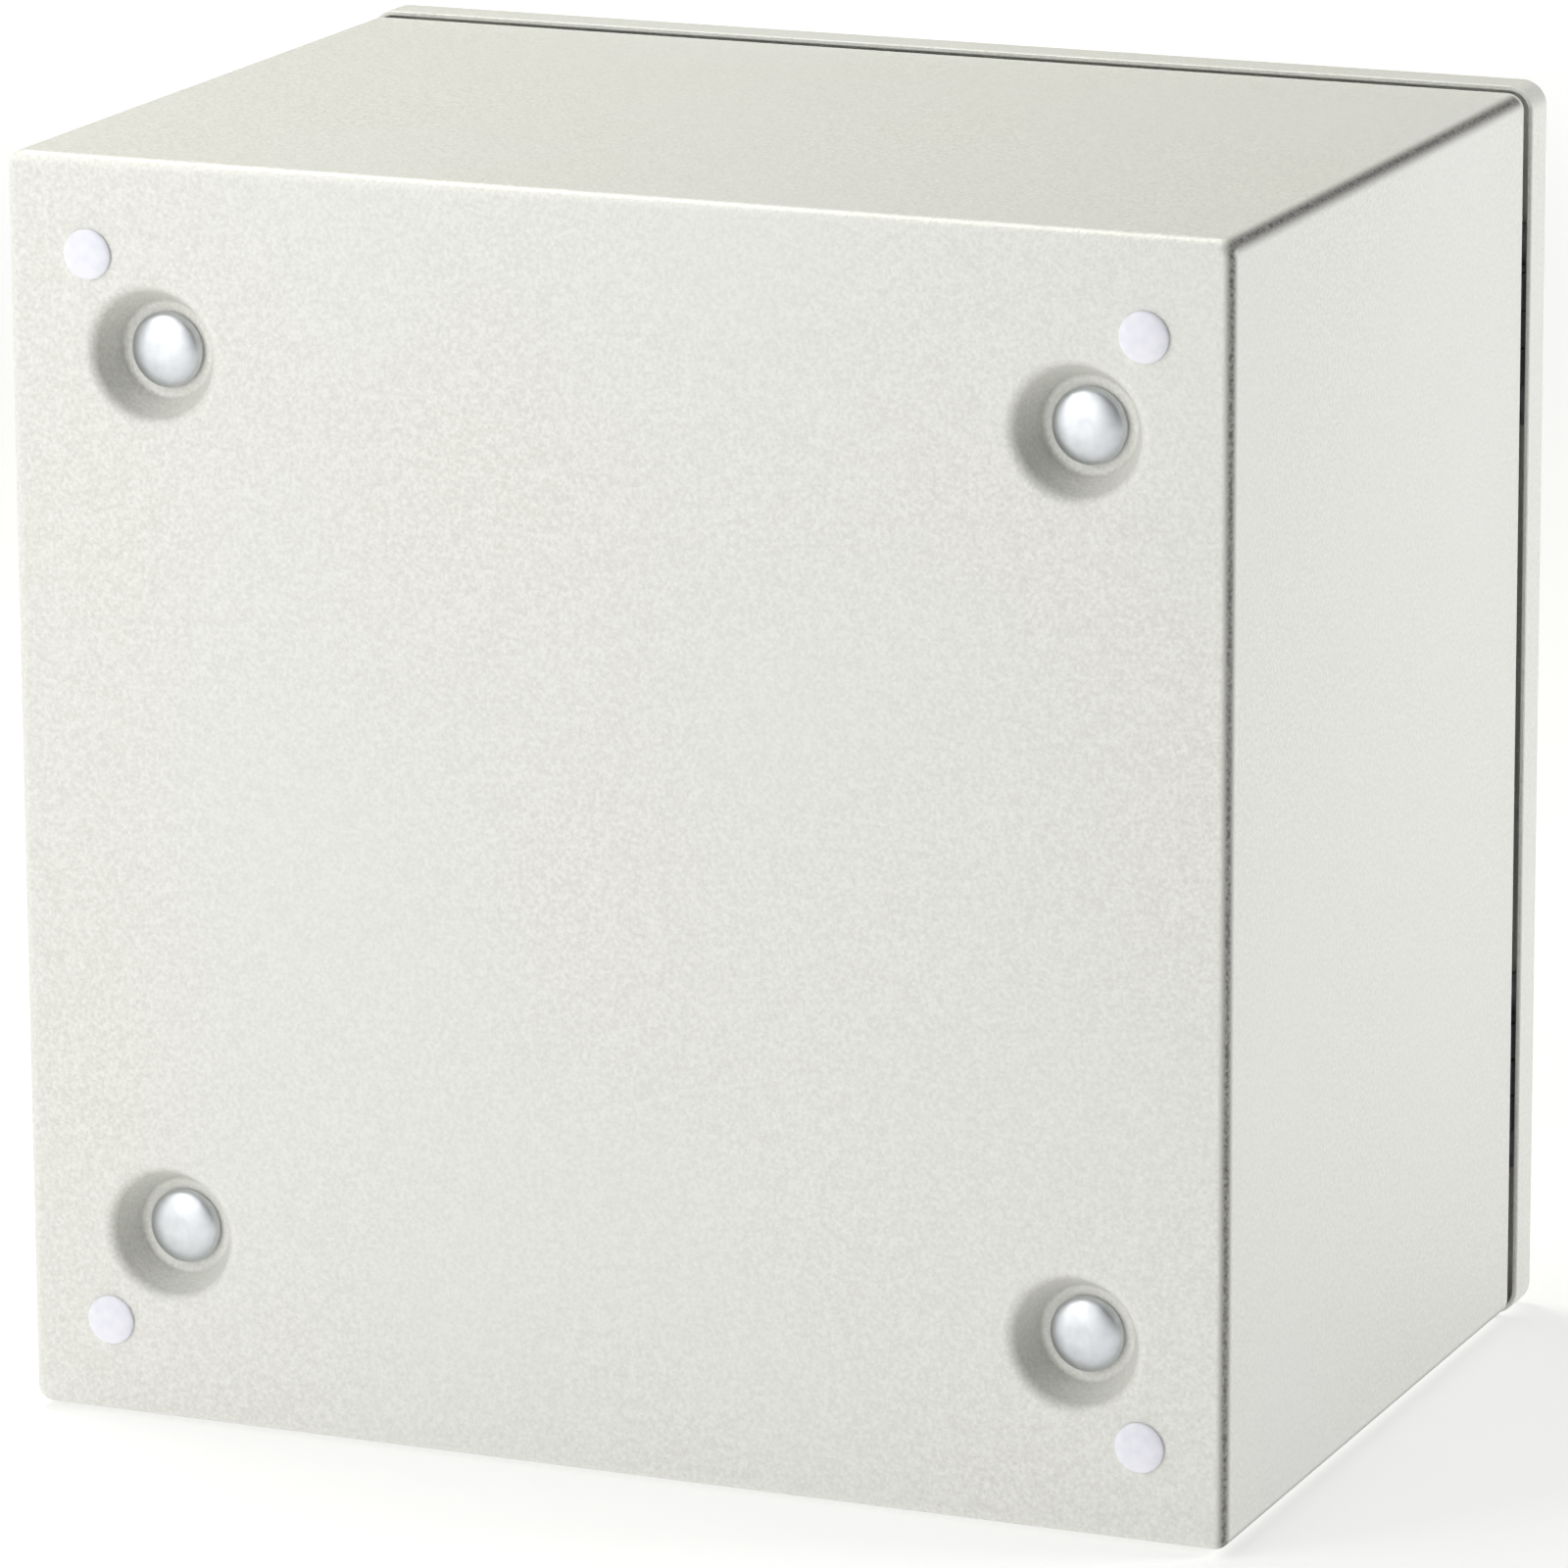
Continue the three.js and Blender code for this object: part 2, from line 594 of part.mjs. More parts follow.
function doorPanel() {
  const spareY = doorRearY + 2 * BEND_R;
  const outline = roundedRect(CABINET_W, CABINET_H, DOOR_CORNER_R);
  const inside = roundedRect(CABINET_W - 2 * SHEET, CABINET_H - 2 * SHEET, DOOR_CORNER_R - SHEET);
  const behind = box(-CABINET_W, CABINET_W, doorRearY, spareY + PAST, -CABINET_H, 2 * CABINET_H);
  let panel = cut(slabY(outline, doorFrontY, spareY, middleZ, BEND_R), behind);
  panel = cut(panel, slabY(inside, doorInnerY, spareY + BEND_R, middleZ, BEND_R - SHEET));
  const holeR = BARREL_R + CLEAR;
  panel = cut(panel, rodY(holeR, doorFrontY - PAST, doorInnerY + PAST, latchX, middleZ, TURN_SIDES));
  const rootY = doorInnerY - SHEET / 2;
  const tipY = leafNutY + M4_NUT_H + LEAF_STUD_TAIL;
  for (const hinge of hinges) {
    for (const fixing of leafFixings) {
      panel = join(panel, rodY(LEAF_STUD_R, rootY, tipY, pivotX + LEAF_STUD_X, hinge.z + fixing.z));
    }
  }
  return join(panel, rodY(EARTH_R, rootY, doorInnerY + EARTH_L, doorEarthX, DOOR_EARTH_INSET_Z));
}

// foam strip with the groove that the lip presses into it
function doorGasket() {
  const ring = (grow, y0, y1) => {
    const [w, h] = [mouthW + 2 * SHEET, mouthH + 2 * SHEET];
    const outer = roundedRect(w + 2 * grow, h + 2 * grow, LIP_CORNER_R + SHEET + grow);
    const inner = roundedRect(mouthW - 2 * grow, mouthH - 2 * grow, LIP_CORNER_R - grow);
    return cut(slabY(outer, y0, y1), slabY(inner, y0 - PAST, y1 + PAST));
  };
  const strip = ring(gasketOverlap, doorInnerY + CLEAR, gasketFaceY);
  return cut(strip, ring(GROOVE_CLEAR, lipTipY - CLEAR, gasketFaceY + PAST));
}

// ---------- latch, about its own axis along Y ----------

function latchHousing() {
  const rimY = housingFrontY + LATCH_EDGE_R;
  const seatY = housingFrontY + LATCH_FLANGE_T;
  const headR = ROTOR_HEAD_R + RUNNING;
  const counterboreY = housingFrontY + ROTOR_HEAD_T + CLEAR;
  return turnedY([
    [ROTOR_R + RUNNING, barrelRearY],
    [ROTOR_R + RUNNING, counterboreY],
    [headR, counterboreY],
    [headR, housingFrontY],
    ...arcPoints(LATCH_FLANGE_R - LATCH_EDGE_R, rimY, LATCH_EDGE_R, -Math.PI / 2, 0, ARC_STEPS),
    [LATCH_FLANGE_R, seatY],
    [BARREL_R, seatY],
    [BARREL_R, barrelRearY],
    [ROTOR_R + RUNNING, barrelRearY],
  ], TURN_SIDES);
}

function latchSeal() {
  const y0 = doorFrontY - CLEAR - LATCH_SEAL_T;
  return cut(
    rodY(LATCH_SEAL_R, y0, y0 + LATCH_SEAL_T, 0, 0, ROUND_SIDES),
    rodY(BARREL_R + CLEAR, y0 - PAST, y0 + LATCH_SEAL_T + PAST, 0, 0, ROUND_SIDES),
  );
}

function latchRotor() {
  const squareEndY = camFrontY + CAM_T - CLEAR;
  const half = CAM_SQUARE / 2;
  const recessEndY = housingFrontY + KEY_RECESS_DEPTH;
  const postEndY = housingFrontY + KEY_POST_BELOW;
  const bitReach = (KEY_RECESS_R + ROTOR_R) / 2; // the bit ends inside the rotor's wall
  let rotor = join(
    rodY(ROTOR_HEAD_R, housingFrontY, housingFrontY + ROTOR_HEAD_T, 0, 0, TURN_SIDES),
    rodY(ROTOR_R, housingFrontY + ROTOR_HEAD_T / 2, barrelRearY, 0, 0, TURN_SIDES),
    box(-half, half, barrelRearY - PAST, squareEndY, -half, half),
  );
  rotor = cut(rotor, rodY(KEY_RECESS_R, housingFrontY - PAST, recessEndY, 0, 0, ROUND_SIDES));
  rotor = join(
    rotor,
    rodY(KEY_POST_R, postEndY, recessEndY + PAST),
    box(-KEY_BIT_W / 2, KEY_BIT_W / 2, postEndY, recessEndY + PAST, -bitReach, bitReach),
  );
  return cut(rotor, rodY(CAM_SCREW_R + HOLE_CLEAR, squareEndY - CAM_SCREW_L, squareEndY + PAST));
}

// flat cam that points up at rest
function latchCam() {
  const half = CAM_W / 2;
  const outline = new THREE.Shape();
  outline.moveTo(-half, CAM_TAIL_CUT - CAM_TAIL);
  outline.lineTo(CAM_TAIL_CUT - half, -CAM_TAIL);
  outline.lineTo(half - CAM_TAIL_CUT, -CAM_TAIL);
  outline.lineTo(half, CAM_TAIL_CUT - CAM_TAIL);
  outline.absarc(0, camReach - half, half, 0, Math.PI);
  outline.closePath();
  const cam = slabY(outline, camFrontY, camFrontY + CAM_T, 0);
  const hole = CAM_SQUARE / 2 + CLEAR;
  return cut(cam, box(-hole, hole, camFrontY - PAST, camFrontY + CAM_T + PAST, -hole, hole));
}

function camScrew() {
  const headY = camFrontY + CAM_T + CLEAR;
  const tipY = camFrontY + CAM_T - CAM_SCREW_L + CLEAR;
  return turnedY([
    [0, tipY],
    [CAM_SCREW_R, tipY],
    [CAM_SCREW_R, headY],
    [CAM_SCREW_HEAD_R, headY],
    ...domePoints(CAM_SCREW_HEAD_R, headY + CAM_SCREW_HEAD_H / 2, headY + CAM_SCREW_HEAD_H, ARC_STEPS),
  ]);
}

// ---------- assembly ----------

function finish(color, roughness, metalness) {
  return new THREE.MeshStandardMaterial({ color, roughness, metalness });
}

const paint = finish(0xe2e1db, 0.6, 0);
const zinc = finish(0xc9ccce, 0.35, 0.9);
const galvanised = finish(0xb9bdbf, 0.5, 0.85);
const dieCast = finish(0x8f9294, 0.45, 0.8);
const foam = finish(0x2b2c2e, 0.95, 0);
const whitePlastic = finish(0xe3e3eb, 0.4, 0);

function place(group, name, solid, material, position = [0, 0, 0], rotation = [0, 0, 0]) {
  const mesh = new THREE.Mesh(geometryOf(solid), material);
  mesh.name = name;
  mesh.position.set(...position);
  mesh.rotation.set(...rotation);
  group.add(mesh);
}

const upright = [Math.PI / 2, 0, 0]; // turns a piece made along Y to stand along Z

const boltNut = hexNut(M6_NUT_AF, M6_NUT_H, BOLT_R + HOLE_CLEAR);
const boltWasher = washer(M6_WASHER_R, BOLT_R + HOLE_CLEAR, M6_WASHER_T);
const earthNut = hexNut(M6_NUT_AF, M6_NUT_H, EARTH_R + HOLE_CLEAR);
const earthWasher = washer(M6_WASHER_R, EARTH_R + HOLE_CLEAR, M6_WASHER_T);
const glandNut = hexNut(M5_NUT_AF, M5_NUT_H, GLAND_STUD_R + HOLE_CLEAR);
const leafNut = hexNut(M4_NUT_AF, M4_NUT_H, LEAF_STUD_R + HOLE_CLEAR);
const latchNut = hexNut(LATCH_NUT_AF, LATCH_NUT_T, BARREL_R + HOLE_CLEAR, TURN_SIDES);

const body = new THREE.Group();
place(body, 'body_shell', bodyShell(), paint);
place(body, 'mounting_plate', mountingPlate(), galvanised);
for (const { name, sx, sz } of fourCorners) {
  const onBolt = (y) => [sx * recessX, y, middleZ + sz * recessZ];
  place(body, `mounting_bolt_${name}`, mountingBolt(), zinc, onBolt(recessFloorY + CLEAR));
  place(body, `clamp_nut_${name}`, boltNut, zinc, onBolt(clampNutY + M6_NUT_H / 2));
  place(body, `plate_washer_${name}`, boltWasher, zinc, onBolt(washerY + M6_WASHER_T / 2));
  place(body, `plate_nut_${name}`, boltNut, zinc, onBolt(plateNutY + M6_NUT_H / 2));
  const holeAt = [sx * wallHoleX, backY, middleZ + sz * wallHoleZ];
  place(body, `wall_plug_${name}`, wallPlug(), whitePlastic, holeAt);
}
place(body, 'gland_plate', glandPlate(), paint);
place(body, 'gland_gasket', glandGasket(), foam);
for (const { name, sx, sz } of fourCorners) {
  const end = name.replace('lower', 'front').replace('upper', 'rear');
  const at = [sx * glandStudX, glandY + sz * glandStudY, glandNutZ + M5_NUT_H / 2];
  place(body, `gland_nut_${end}`, glandNut, zinc, at, upright);
}

const door = new THREE.Group();
place(door, 'door_panel', doorPanel(), paint);
place(door, 'door_gasket', doorGasket(), foam);

// the washer and nut stand on the sheet in the same way on both earth studs
const washerRise = CLEAR + M6_WASHER_T / 2;
const nutRise = 2 * CLEAR + M6_WASHER_T + M6_NUT_H / 2;
const onBase = (rise) => [bodyEarthX, bodyEarthY, floorZ + rise];
const onDoor = (rise) => [doorEarthX, doorInnerY + rise, DOOR_EARTH_INSET_Z];
place(body, 'body_earth_washer', earthWasher, zinc, onBase(washerRise), upright);
place(body, 'body_earth_nut', earthNut, zinc, onBase(nutRise), upright);
place(door, 'door_earth_washer', earthWasher, zinc, onDoor(washerRise));
place(door, 'door_earth_nut', earthNut, zinc, onDoor(nutRise));

for (const hinge of hinges) {
  const pivot = [pivotX, pivotY, hinge.z];
  place(body, `hinge_body_leaf_${hinge.name}`, hingeBodyLeaf(), zinc, pivot);
  place(body, `hinge_pin_${hinge.name}`, hingePin(), zinc, pivot, upright);
  place(door, `hinge_door_leaf_${hinge.name}`, hingeDoorLeaf(), zinc, pivot);
  for (const fixing of leafFixings) {
    const label = `${hinge.name}_hinge_${fixing.name}`;
    const z = hinge.z + fixing.z;
    place(body, `${label}_screw`, hingeScrew(), zinc, [pivotX + footScrewX, pivotY + footFront, z]);
    place(door, `${label}_nut`, leafNut, zinc, [pivotX + LEAF_STUD_X, leafNutY + M4_NUT_H / 2, z]);
  }
}

const latch = new THREE.Group();
latch.position.set(latchX, 0, middleZ);
place(latch, 'latch_housing', latchHousing(), dieCast);
place(latch, 'latch_seal', latchSeal(), foam);
place(latch, 'latch_nut', latchNut, zinc, [0, doorInnerY + CLEAR + LATCH_NUT_T / 2, 0]);
place(latch, 'latch_rotor', latchRotor(), dieCast);
place(latch, 'latch_cam', latchCam(), zinc);
place(latch, 'latch_cam_screw', camScrew(), zinc);

const cabinet = new THREE.Group();
cabinet.add(body, door, latch);

export default cabinet;
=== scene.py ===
import math
import bpy
import bmesh
from mathutils import Matrix, Vector, geometry


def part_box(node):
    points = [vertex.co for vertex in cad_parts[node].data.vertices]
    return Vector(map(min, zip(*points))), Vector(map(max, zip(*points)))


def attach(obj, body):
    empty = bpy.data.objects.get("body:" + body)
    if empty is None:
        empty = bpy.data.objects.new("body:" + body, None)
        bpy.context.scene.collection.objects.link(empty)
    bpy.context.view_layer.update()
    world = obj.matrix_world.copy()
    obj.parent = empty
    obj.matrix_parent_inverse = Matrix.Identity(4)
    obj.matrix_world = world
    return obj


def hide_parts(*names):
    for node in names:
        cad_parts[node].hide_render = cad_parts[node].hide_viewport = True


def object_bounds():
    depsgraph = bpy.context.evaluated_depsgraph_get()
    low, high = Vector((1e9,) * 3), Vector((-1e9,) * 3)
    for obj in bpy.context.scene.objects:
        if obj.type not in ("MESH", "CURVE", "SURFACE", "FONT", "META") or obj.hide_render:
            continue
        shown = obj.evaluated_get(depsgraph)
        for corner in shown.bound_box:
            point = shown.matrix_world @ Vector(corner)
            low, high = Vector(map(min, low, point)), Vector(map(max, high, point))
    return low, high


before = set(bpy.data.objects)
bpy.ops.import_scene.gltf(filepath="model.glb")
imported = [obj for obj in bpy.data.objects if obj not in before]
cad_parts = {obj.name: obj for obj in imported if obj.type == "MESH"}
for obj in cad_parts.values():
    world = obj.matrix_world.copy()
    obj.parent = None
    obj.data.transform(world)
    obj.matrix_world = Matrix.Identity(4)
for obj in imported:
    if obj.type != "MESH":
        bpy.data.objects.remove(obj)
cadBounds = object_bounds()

scene = bpy.context.scene
scene.view_settings.view_transform = "Standard"

corners = ["lower_left", "lower_right", "upper_left", "upper_right"]
levels = ["lower", "upper"]
glandEnds = ["front_left", "front_right", "rear_left", "rear_right"]


# places, all in millimetres, read from the CAD nodes

def cadBox(node):
    low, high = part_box(node)
    return low * 1000, high * 1000


def cadMiddle(node):
    low, high = cadBox(node)
    return (low + high) / 2


# sizes that the body shares with other pieces

bodySet = {
    "sheet": 1.2,
    "bend": 3.0,            # outer radius of the folds at the back
    "frontBend": 1.6,       # of the tighter folds at the front flange
    "corner": 4.0,          # outer radius of the folds between the sides
    "bendSteps": 8,
    "cornerSteps": 10,
    "lipHeight": 8.0,
    "lipCorner": 6.0,
    "plateToMouth": 3.5,    # mounting plate's edge to the sealing lip
    "recessRim": 17.4,      # the cups that the bolt heads sit in
    "recessFloor": 10.3,
    "recessDepth": 9.0,
    "recessShoulder": 3.2,  # radius of the rim's fold
    "recessFoot": 1.4,      # radius round the floor
    "recessSlope": 65.0,    # steepest part of the wall, in degrees
    "boltHole": 3.3,
    "plugSeat": 5.6,
    "plugSeatDepth": 0.9,
    "plugHole": 4.25,
    "screwHole": 2.05,
    "collarHeight": 2.0,
    "edge": 0.2,            # sheared edges are broken by this much
    "lipRoot": 1.0,         # inner radius of the sealing lip's fold
    "lipEdge": 0.3,
    "entryRim": 15.0,       # gland gasket's width around the cable entry
    "entryCorner": 6.0,
}

bodyLow, bodyHigh = cadBox("body_shell")
plateLow, plateHigh = cadBox("mounting_plate")
bodyWidth, bodyHeight = bodyHigh.x - bodyLow.x, bodyHigh.z - bodyLow.z
middleHeight = (bodyLow.z + bodyHigh.z) / 2
bodyBack = bodyHigh.y
bodyFront = bodyLow.y + bodySet["lipHeight"]
sheet = bodySet["sheet"]
mouthWidth = plateHigh.x - plateLow.x + 2 * bodySet["plateToMouth"]
mouthHeight = plateHigh.z - plateLow.z + 2 * bodySet["plateToMouth"]
glandLow, glandHigh = cadBox("gland_gasket")
entryWidth = glandHigh.x - glandLow.x - 2 * bodySet["entryRim"]
entryDepth = glandHigh.y - glandLow.y - 2 * bodySet["entryRim"]
entryMiddle = ((glandLow.x + glandHigh.x) / 2, (glandLow.y + glandHigh.y) / 2)


# mesh helpers; pieces are drawn in millimetres and scaled once, when they are finished

def toAxis(u, v, w, axis):
    # w runs along the piece's own axis
    return Vector((u, w, v)) if axis == "Y" else Vector((u, v, w))


def circle(r, w, axis="Y", centre=(0, 0), count=48):
    points = []
    for i in range(count):
        turn = 2 * math.pi * i / count
        points.append(toAxis(centre[0] + r * math.cos(turn), centre[1] + r * math.sin(turn), w, axis))
    return points


def roundRect(width, height, r, w, axis="Y", centre=(0, 0), steps=8):
    points = []
    for corner, (su, sv) in enumerate([(1, 1), (-1, 1), (-1, -1), (1, -1)]):
        for i in range(steps + 1):
            turn = math.pi / 2 * (corner + i / steps)
            u = su * (width / 2 - r) + r * math.cos(turn)
            v = sv * (height / 2 - r) + r * math.sin(turn)
            points.append(toAxis(centre[0] + u, centre[1] + v, w, axis))
    return points


def addLoop(bm, points):
    return [bm.verts.new(point) for point in points]


def bridge(bm, a, b, skip=-1):
    # joins two loops of the same length, or a loop and a pole
    count = max(len(a), len(b))
    for i in range(count):
        j = (i + 1) % count
        if i == skip:
            continue
        if len(a) == 1:
            bm.faces.new((a[0], b[j], b[i]))
        elif len(b) == 1:
            bm.faces.new((a[i], a[j], b[0]))
        else:
            bm.faces.new((a[i], a[j], b[j], b[i]))


def bridgeAll(bm, loops, closed=False):
    for a, b in zip(loops, loops[1:]):
        bridge(bm, a, b)
    if closed:
        bridge(bm, loops[-1], loops[0])


def fillFlat(bm, loops, axis="Y"):
    # fills the first loop, leaving the others open as holes
    keep = (0, 2) if axis == "Y" else (0, 1)
    flat = [vert for loop in loops for vert in loop]
    outlines = [[(vert.co[keep[0]], vert.co[keep[1]]) for vert in loop] for loop in loops]
    for triangle in geometry.tessellate_polygon([[Vector(p).to_3d() for p in line] for line in outlines]):
        bm.faces.new([flat[i] for i in triangle])


def throughFeature(bm, profile, axis="Y", centre=(0, 0), count=48):
    # a hole, cup or collar: (radius, depth) points from one face of the sheet to the other
    loops = [addLoop(bm, circle(r, w, axis, centre, count)) for r, w in profile]
    bridgeAll(bm, loops)
    return loops[0], loops[-1]


def turned(bm, profile, axis="Y", centre=(0, 0), count=48, closed=False, pitch=1.0):
    # (radius, height) points turned about the axis; a third value is the depth of a screw thread
    loops = []
    for point in profile:
        r, w = point[0], point[1]
        thread = point[2] if len(point) > 2 else 0
        if r < 0.001:
            loops.append(addLoop(bm, [toAxis(centre[0], centre[1], w, axis)]))
            continue
        ring = []
        for i in range(count):
            turn = 2 * math.pi * i / count
            reach = r - thread * abs(2 * ((w / pitch - i / count) % 1) - 1)
            ring.append(toAxis(
                centre[0] + reach * math.cos(turn), centre[1] + reach * math.sin(turn), w, axis))
        loops.append(addLoop(bm, ring))
    bridgeAll(bm, loops, closed)


def rod(r, start, end, edge=0.0, endEdge=0.0):
    # profile of a closed cylinder, with a chamfer at each end
    points = [(0, start), (r - edge, start), (r, start + edge),
              (r, end - endEdge), (r - endEdge, end), (0, end)]
    return [p for i, p in enumerate(points) if p != points[i - 1]]


def domedHead(r, seat, rise, edge, steps):
    # profile of a screw or pin head: a straight edge for half its height, then a dome
    dome = [(r * math.cos(t), seat + rise / 2 + rise / 2 * math.sin(t))
            for t in [math.pi / 2 * i / steps for i in range(1, steps)]]
    return [(r - edge, seat), (r, seat + edge), (r, seat + rise / 2), *dome, (0, seat + rise)]


def threadRun(r, start, end, pitch, perPitch=6):
    # profile points of a threaded length, with a chamfer at its far end
    depth = 0.6 * pitch
    steps = max(2, int(abs(end - start) / pitch * perPitch))
    points = []
    for i in range(steps + 1):
        w = start + (end - start) * i / steps
        fromEnd = abs(end - w)
        points.append((r - max(0, depth - fromEnd), w, depth if fromEnd > depth else 0.02))
    return points


def arc(cu, cv, r, start, end, steps):
    points = []
    for i in range(steps + 1):
        turn = math.radians(start + (end - start) * i / steps)
        points.append((cu + r * math.cos(turn), cv + r * math.sin(turn)))
    return points


def extrude(bm, outline, start, end):
    # a flat outline drawn out along Z
    loops = [addLoop(bm, [toAxis(u, v, w, "Z") for u, v in outline]) for w in (start, end)]
    bridgeAll(bm, loops)
    for loop in loops:
        fillFlat(bm, [loop], "Z")


def plateLoops(bm, middle, width, height, r, low, high, edge, axis, steps, holes):
    # border and holes of a flat plate; gives the loops that bound each of its two faces
    rows = [(edge, low), (0, low + edge), (0, high - edge), (edge, high)]
    border = [addLoop(bm, roundRect(width - 2 * e, height - 2 * e, r - e, w, axis, middle, steps))
              for e, w in rows]
    bridgeAll(bm, border)
    ends = [throughFeature(bm, profile, axis, centre, 32) for profile, centre in holes]
    return [border[0], *[first for first, last in ends]], [border[-1], *[last for first, last in ends]]


def block(bm, low, high):
    bmesh.ops.create_cube(bm, size=1, matrix=Matrix.Translation((Vector(low) + Vector(high)) / 2)
                          @ Matrix.Diagonal([*(Vector(high) - Vector(low)), 1]))


def toMesh(name, bm):
    bmesh.ops.recalc_face_normals(bm, faces=bm.faces)
    mesh = bpy.data.meshes.new(name)
    bm.to_mesh(mesh)
    bm.free()
    return mesh


def settle(obj):
    # replaces an object's mesh by what its modifiers make of it
    graph = bpy.context.evaluated_depsgraph_get()
    made = bpy.data.meshes.new_from_object(obj.evaluated_get(graph), depsgraph=graph)
    obj.modifiers.clear()
    obj.data = made


def combine(base, draw, operation="UNION"):
    # joins or cuts a second solid, drawn by a function that fills a bmesh
    bm = bmesh.new()
    draw(bm)
    tool = bpy.data.objects.new("tool", toMesh("tool", bm))
    scene.collection.objects.link(tool)
    modifier = base.modifiers.new(operation, "BOOLEAN")
    modifier.object, modifier.operation, modifier.solver = tool, operation, "EXACT"
    settle(base)
    bpy.data.objects.remove(tool)
    return base


def solid(name, draw):
    bm = bmesh.new()
    draw(bm)
    obj = bpy.data.objects.new(name, toMesh(name, bm))
    scene.collection.objects.link(obj)
    return obj


def finishPiece(obj, slot, body, nodes, place=(0, 0, 0), sharp=35):
    # scales to metres, shades, then hands the piece to its CAD body
    obj.data.transform(Matrix.Scale(0.001, 4))
    obj.data.shade_smooth()
    obj.data.set_sharp_from_angle(angle=math.radians(sharp))
    weighted = obj.modifiers.new("weighted normals", "WEIGHTED_NORMAL")
    weighted.keep_sharp = True
    settle(obj)
    obj.data.materials.clear()
    obj.data.materials.append(finishes[slot])
    return handOver(obj, body, nodes, place)


def handOver(obj, body, nodes, place):
    obj.location = Vector(place) / 1000
    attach(obj, body)
    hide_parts(*nodes)
    return obj


alikePieces = {}


def addAlike(kind, name, make, slot, body, nodes, place, sharp=35):
    # the first piece of a kind is made and finished, the others share its mesh
    if kind not in alikePieces:
        alikePieces[kind] = finishPiece(make(name), slot, body, nodes, place, sharp)
    else:
        copy = bpy.data.objects.new(name, alikePieces[kind].data)
        scene.collection.objects.link(copy)
        handOver(copy, body, nodes, place)


# materials

def linear(hexColour):
    # sRGB hex to linear values
    parts = [int(hexColour[i:i + 2], 16) / 255 for i in (1, 3, 5)]
    return [c / 12.92 if c <= 0.04045 else ((c + 0.055) / 1.055) ** 2.4 for c in parts] + [1]


def patternScale(sizeMm):
    # noise repeats about once per unit, and one unit is a metre
    return 1000 / sizeMm


noiseRange = (0.3, 0.7)     # most of a noise pattern's values lie between these


def addNode(tree, kind, inputs=(), **settings):
    # one node with its settings; inputs go by name or in order, as numbers, hex colours or other outputs
    node = tree.nodes.new("ShaderNode" + kind)
    for name, value in settings.items():
        setattr(node, name, value)
    for name, value in inputs.items() if isinstance(inputs, dict) else enumerate(inputs):
        if isinstance(value, bpy.types.NodeSocket):
            tree.links.new(value, node.inputs[name])
        else:
            node.inputs[name].default_value = linear(value) if isinstance(value, str) else value
    return node


def newMaterial(name):
    material = bpy.data.materials.new(name)
    material.use_nodes = True
    tree = material.node_tree
    tree.nodes.clear()
    return material, tree, addNode(tree, "TexCoord").outputs["Object"]


coatSet = {
    "light": "#ebebe6", "dark": "#d5d4ce", "cool": "#e1e2df",
    "grainMm": 0.95,        # the cured powder's grain of 0.4 mm, drawn coarser so that it shows
    "grainDepth": 0.13,
    "driftMm": 90,          # slow change of film thickness across a panel
    "coolShare": 0.5,       # most that the thicker film cools the colour
    "roughness": (0.33, 0.45),
    # painted shade on the folds of the hinged side, where the light leaves a dark band; hardly any on the
    # door
    "foldShadeColour": "#625f5c",
    "paintedFoldShade": 0.9,       # on the body's folds
    "doorPaintedFoldShade": 0.12,
    "foldShadePower": 1.4,       # a higher power keeps the painted shade to the middle of a fold
    "foldShadePatchy": (0.7, 1.2),
    "foldShadeZoneMm": 6.0,      # how far in from the cabinet's sides the painted fold shade can reach
    "foldShadeStartMm": 3.0,     # behind the body's front
    "recessShadeColour": "#74765c",
    "paintedRecessShade": 0.24,      # painted shade on the steep walls of the bolt recesses, where the cups lie in shade
}


def paintedFoldShade(tree, where, grain):
    # painted shade on the tight folds of the body's hinged side, standing in for the dark band that the light
    # leaves there:
    # strongest half way round a fold, none on the flats, hardly any on the door
    normal = addNode(tree, "SeparateXYZ", [addNode(tree, "TexCoord").outputs["Normal"]])
    share = addNode(tree, "Math", [normal.outputs["X"], 2], operation="POWER").outputs[0]
    rest = addNode(tree, "Math", [1, share], operation="SUBTRACT").outputs[0]
    patchy = addNode(tree, "MapRange", [grain, *noiseRange, *coatSet["foldShadePatchy"]]).outputs[0]
    place = addNode(tree, "SeparateXYZ", [where])
    edge = coatSet["foldShadeZoneMm"] / 1000 - cadBounds[1].x
    zone = addNode(tree, "Math", [place.outputs["X"], edge], operation="LESS_THAN").outputs[0]
    start = (bodyFront + coatSet["foldShadeStartMm"]) / 1000
    most = addNode(tree, "MapRange", [
        place.outputs["Y"], start - 0.001, start, coatSet["doorPaintedFoldShade"], coatSet["paintedFoldShade"],
    ]).outputs[0]
    # four brings the peak of share times rest up to one
    for operation, value in (("MULTIPLY", rest), ("MULTIPLY", 4), ("POWER", coatSet["foldShadePower"]),
                             ("MULTIPLY", patchy), ("MULTIPLY", zone), ("MULTIPLY", most)):
        share = addNode(tree, "Math", [share, value], operation=operation).outputs[0]
    return share


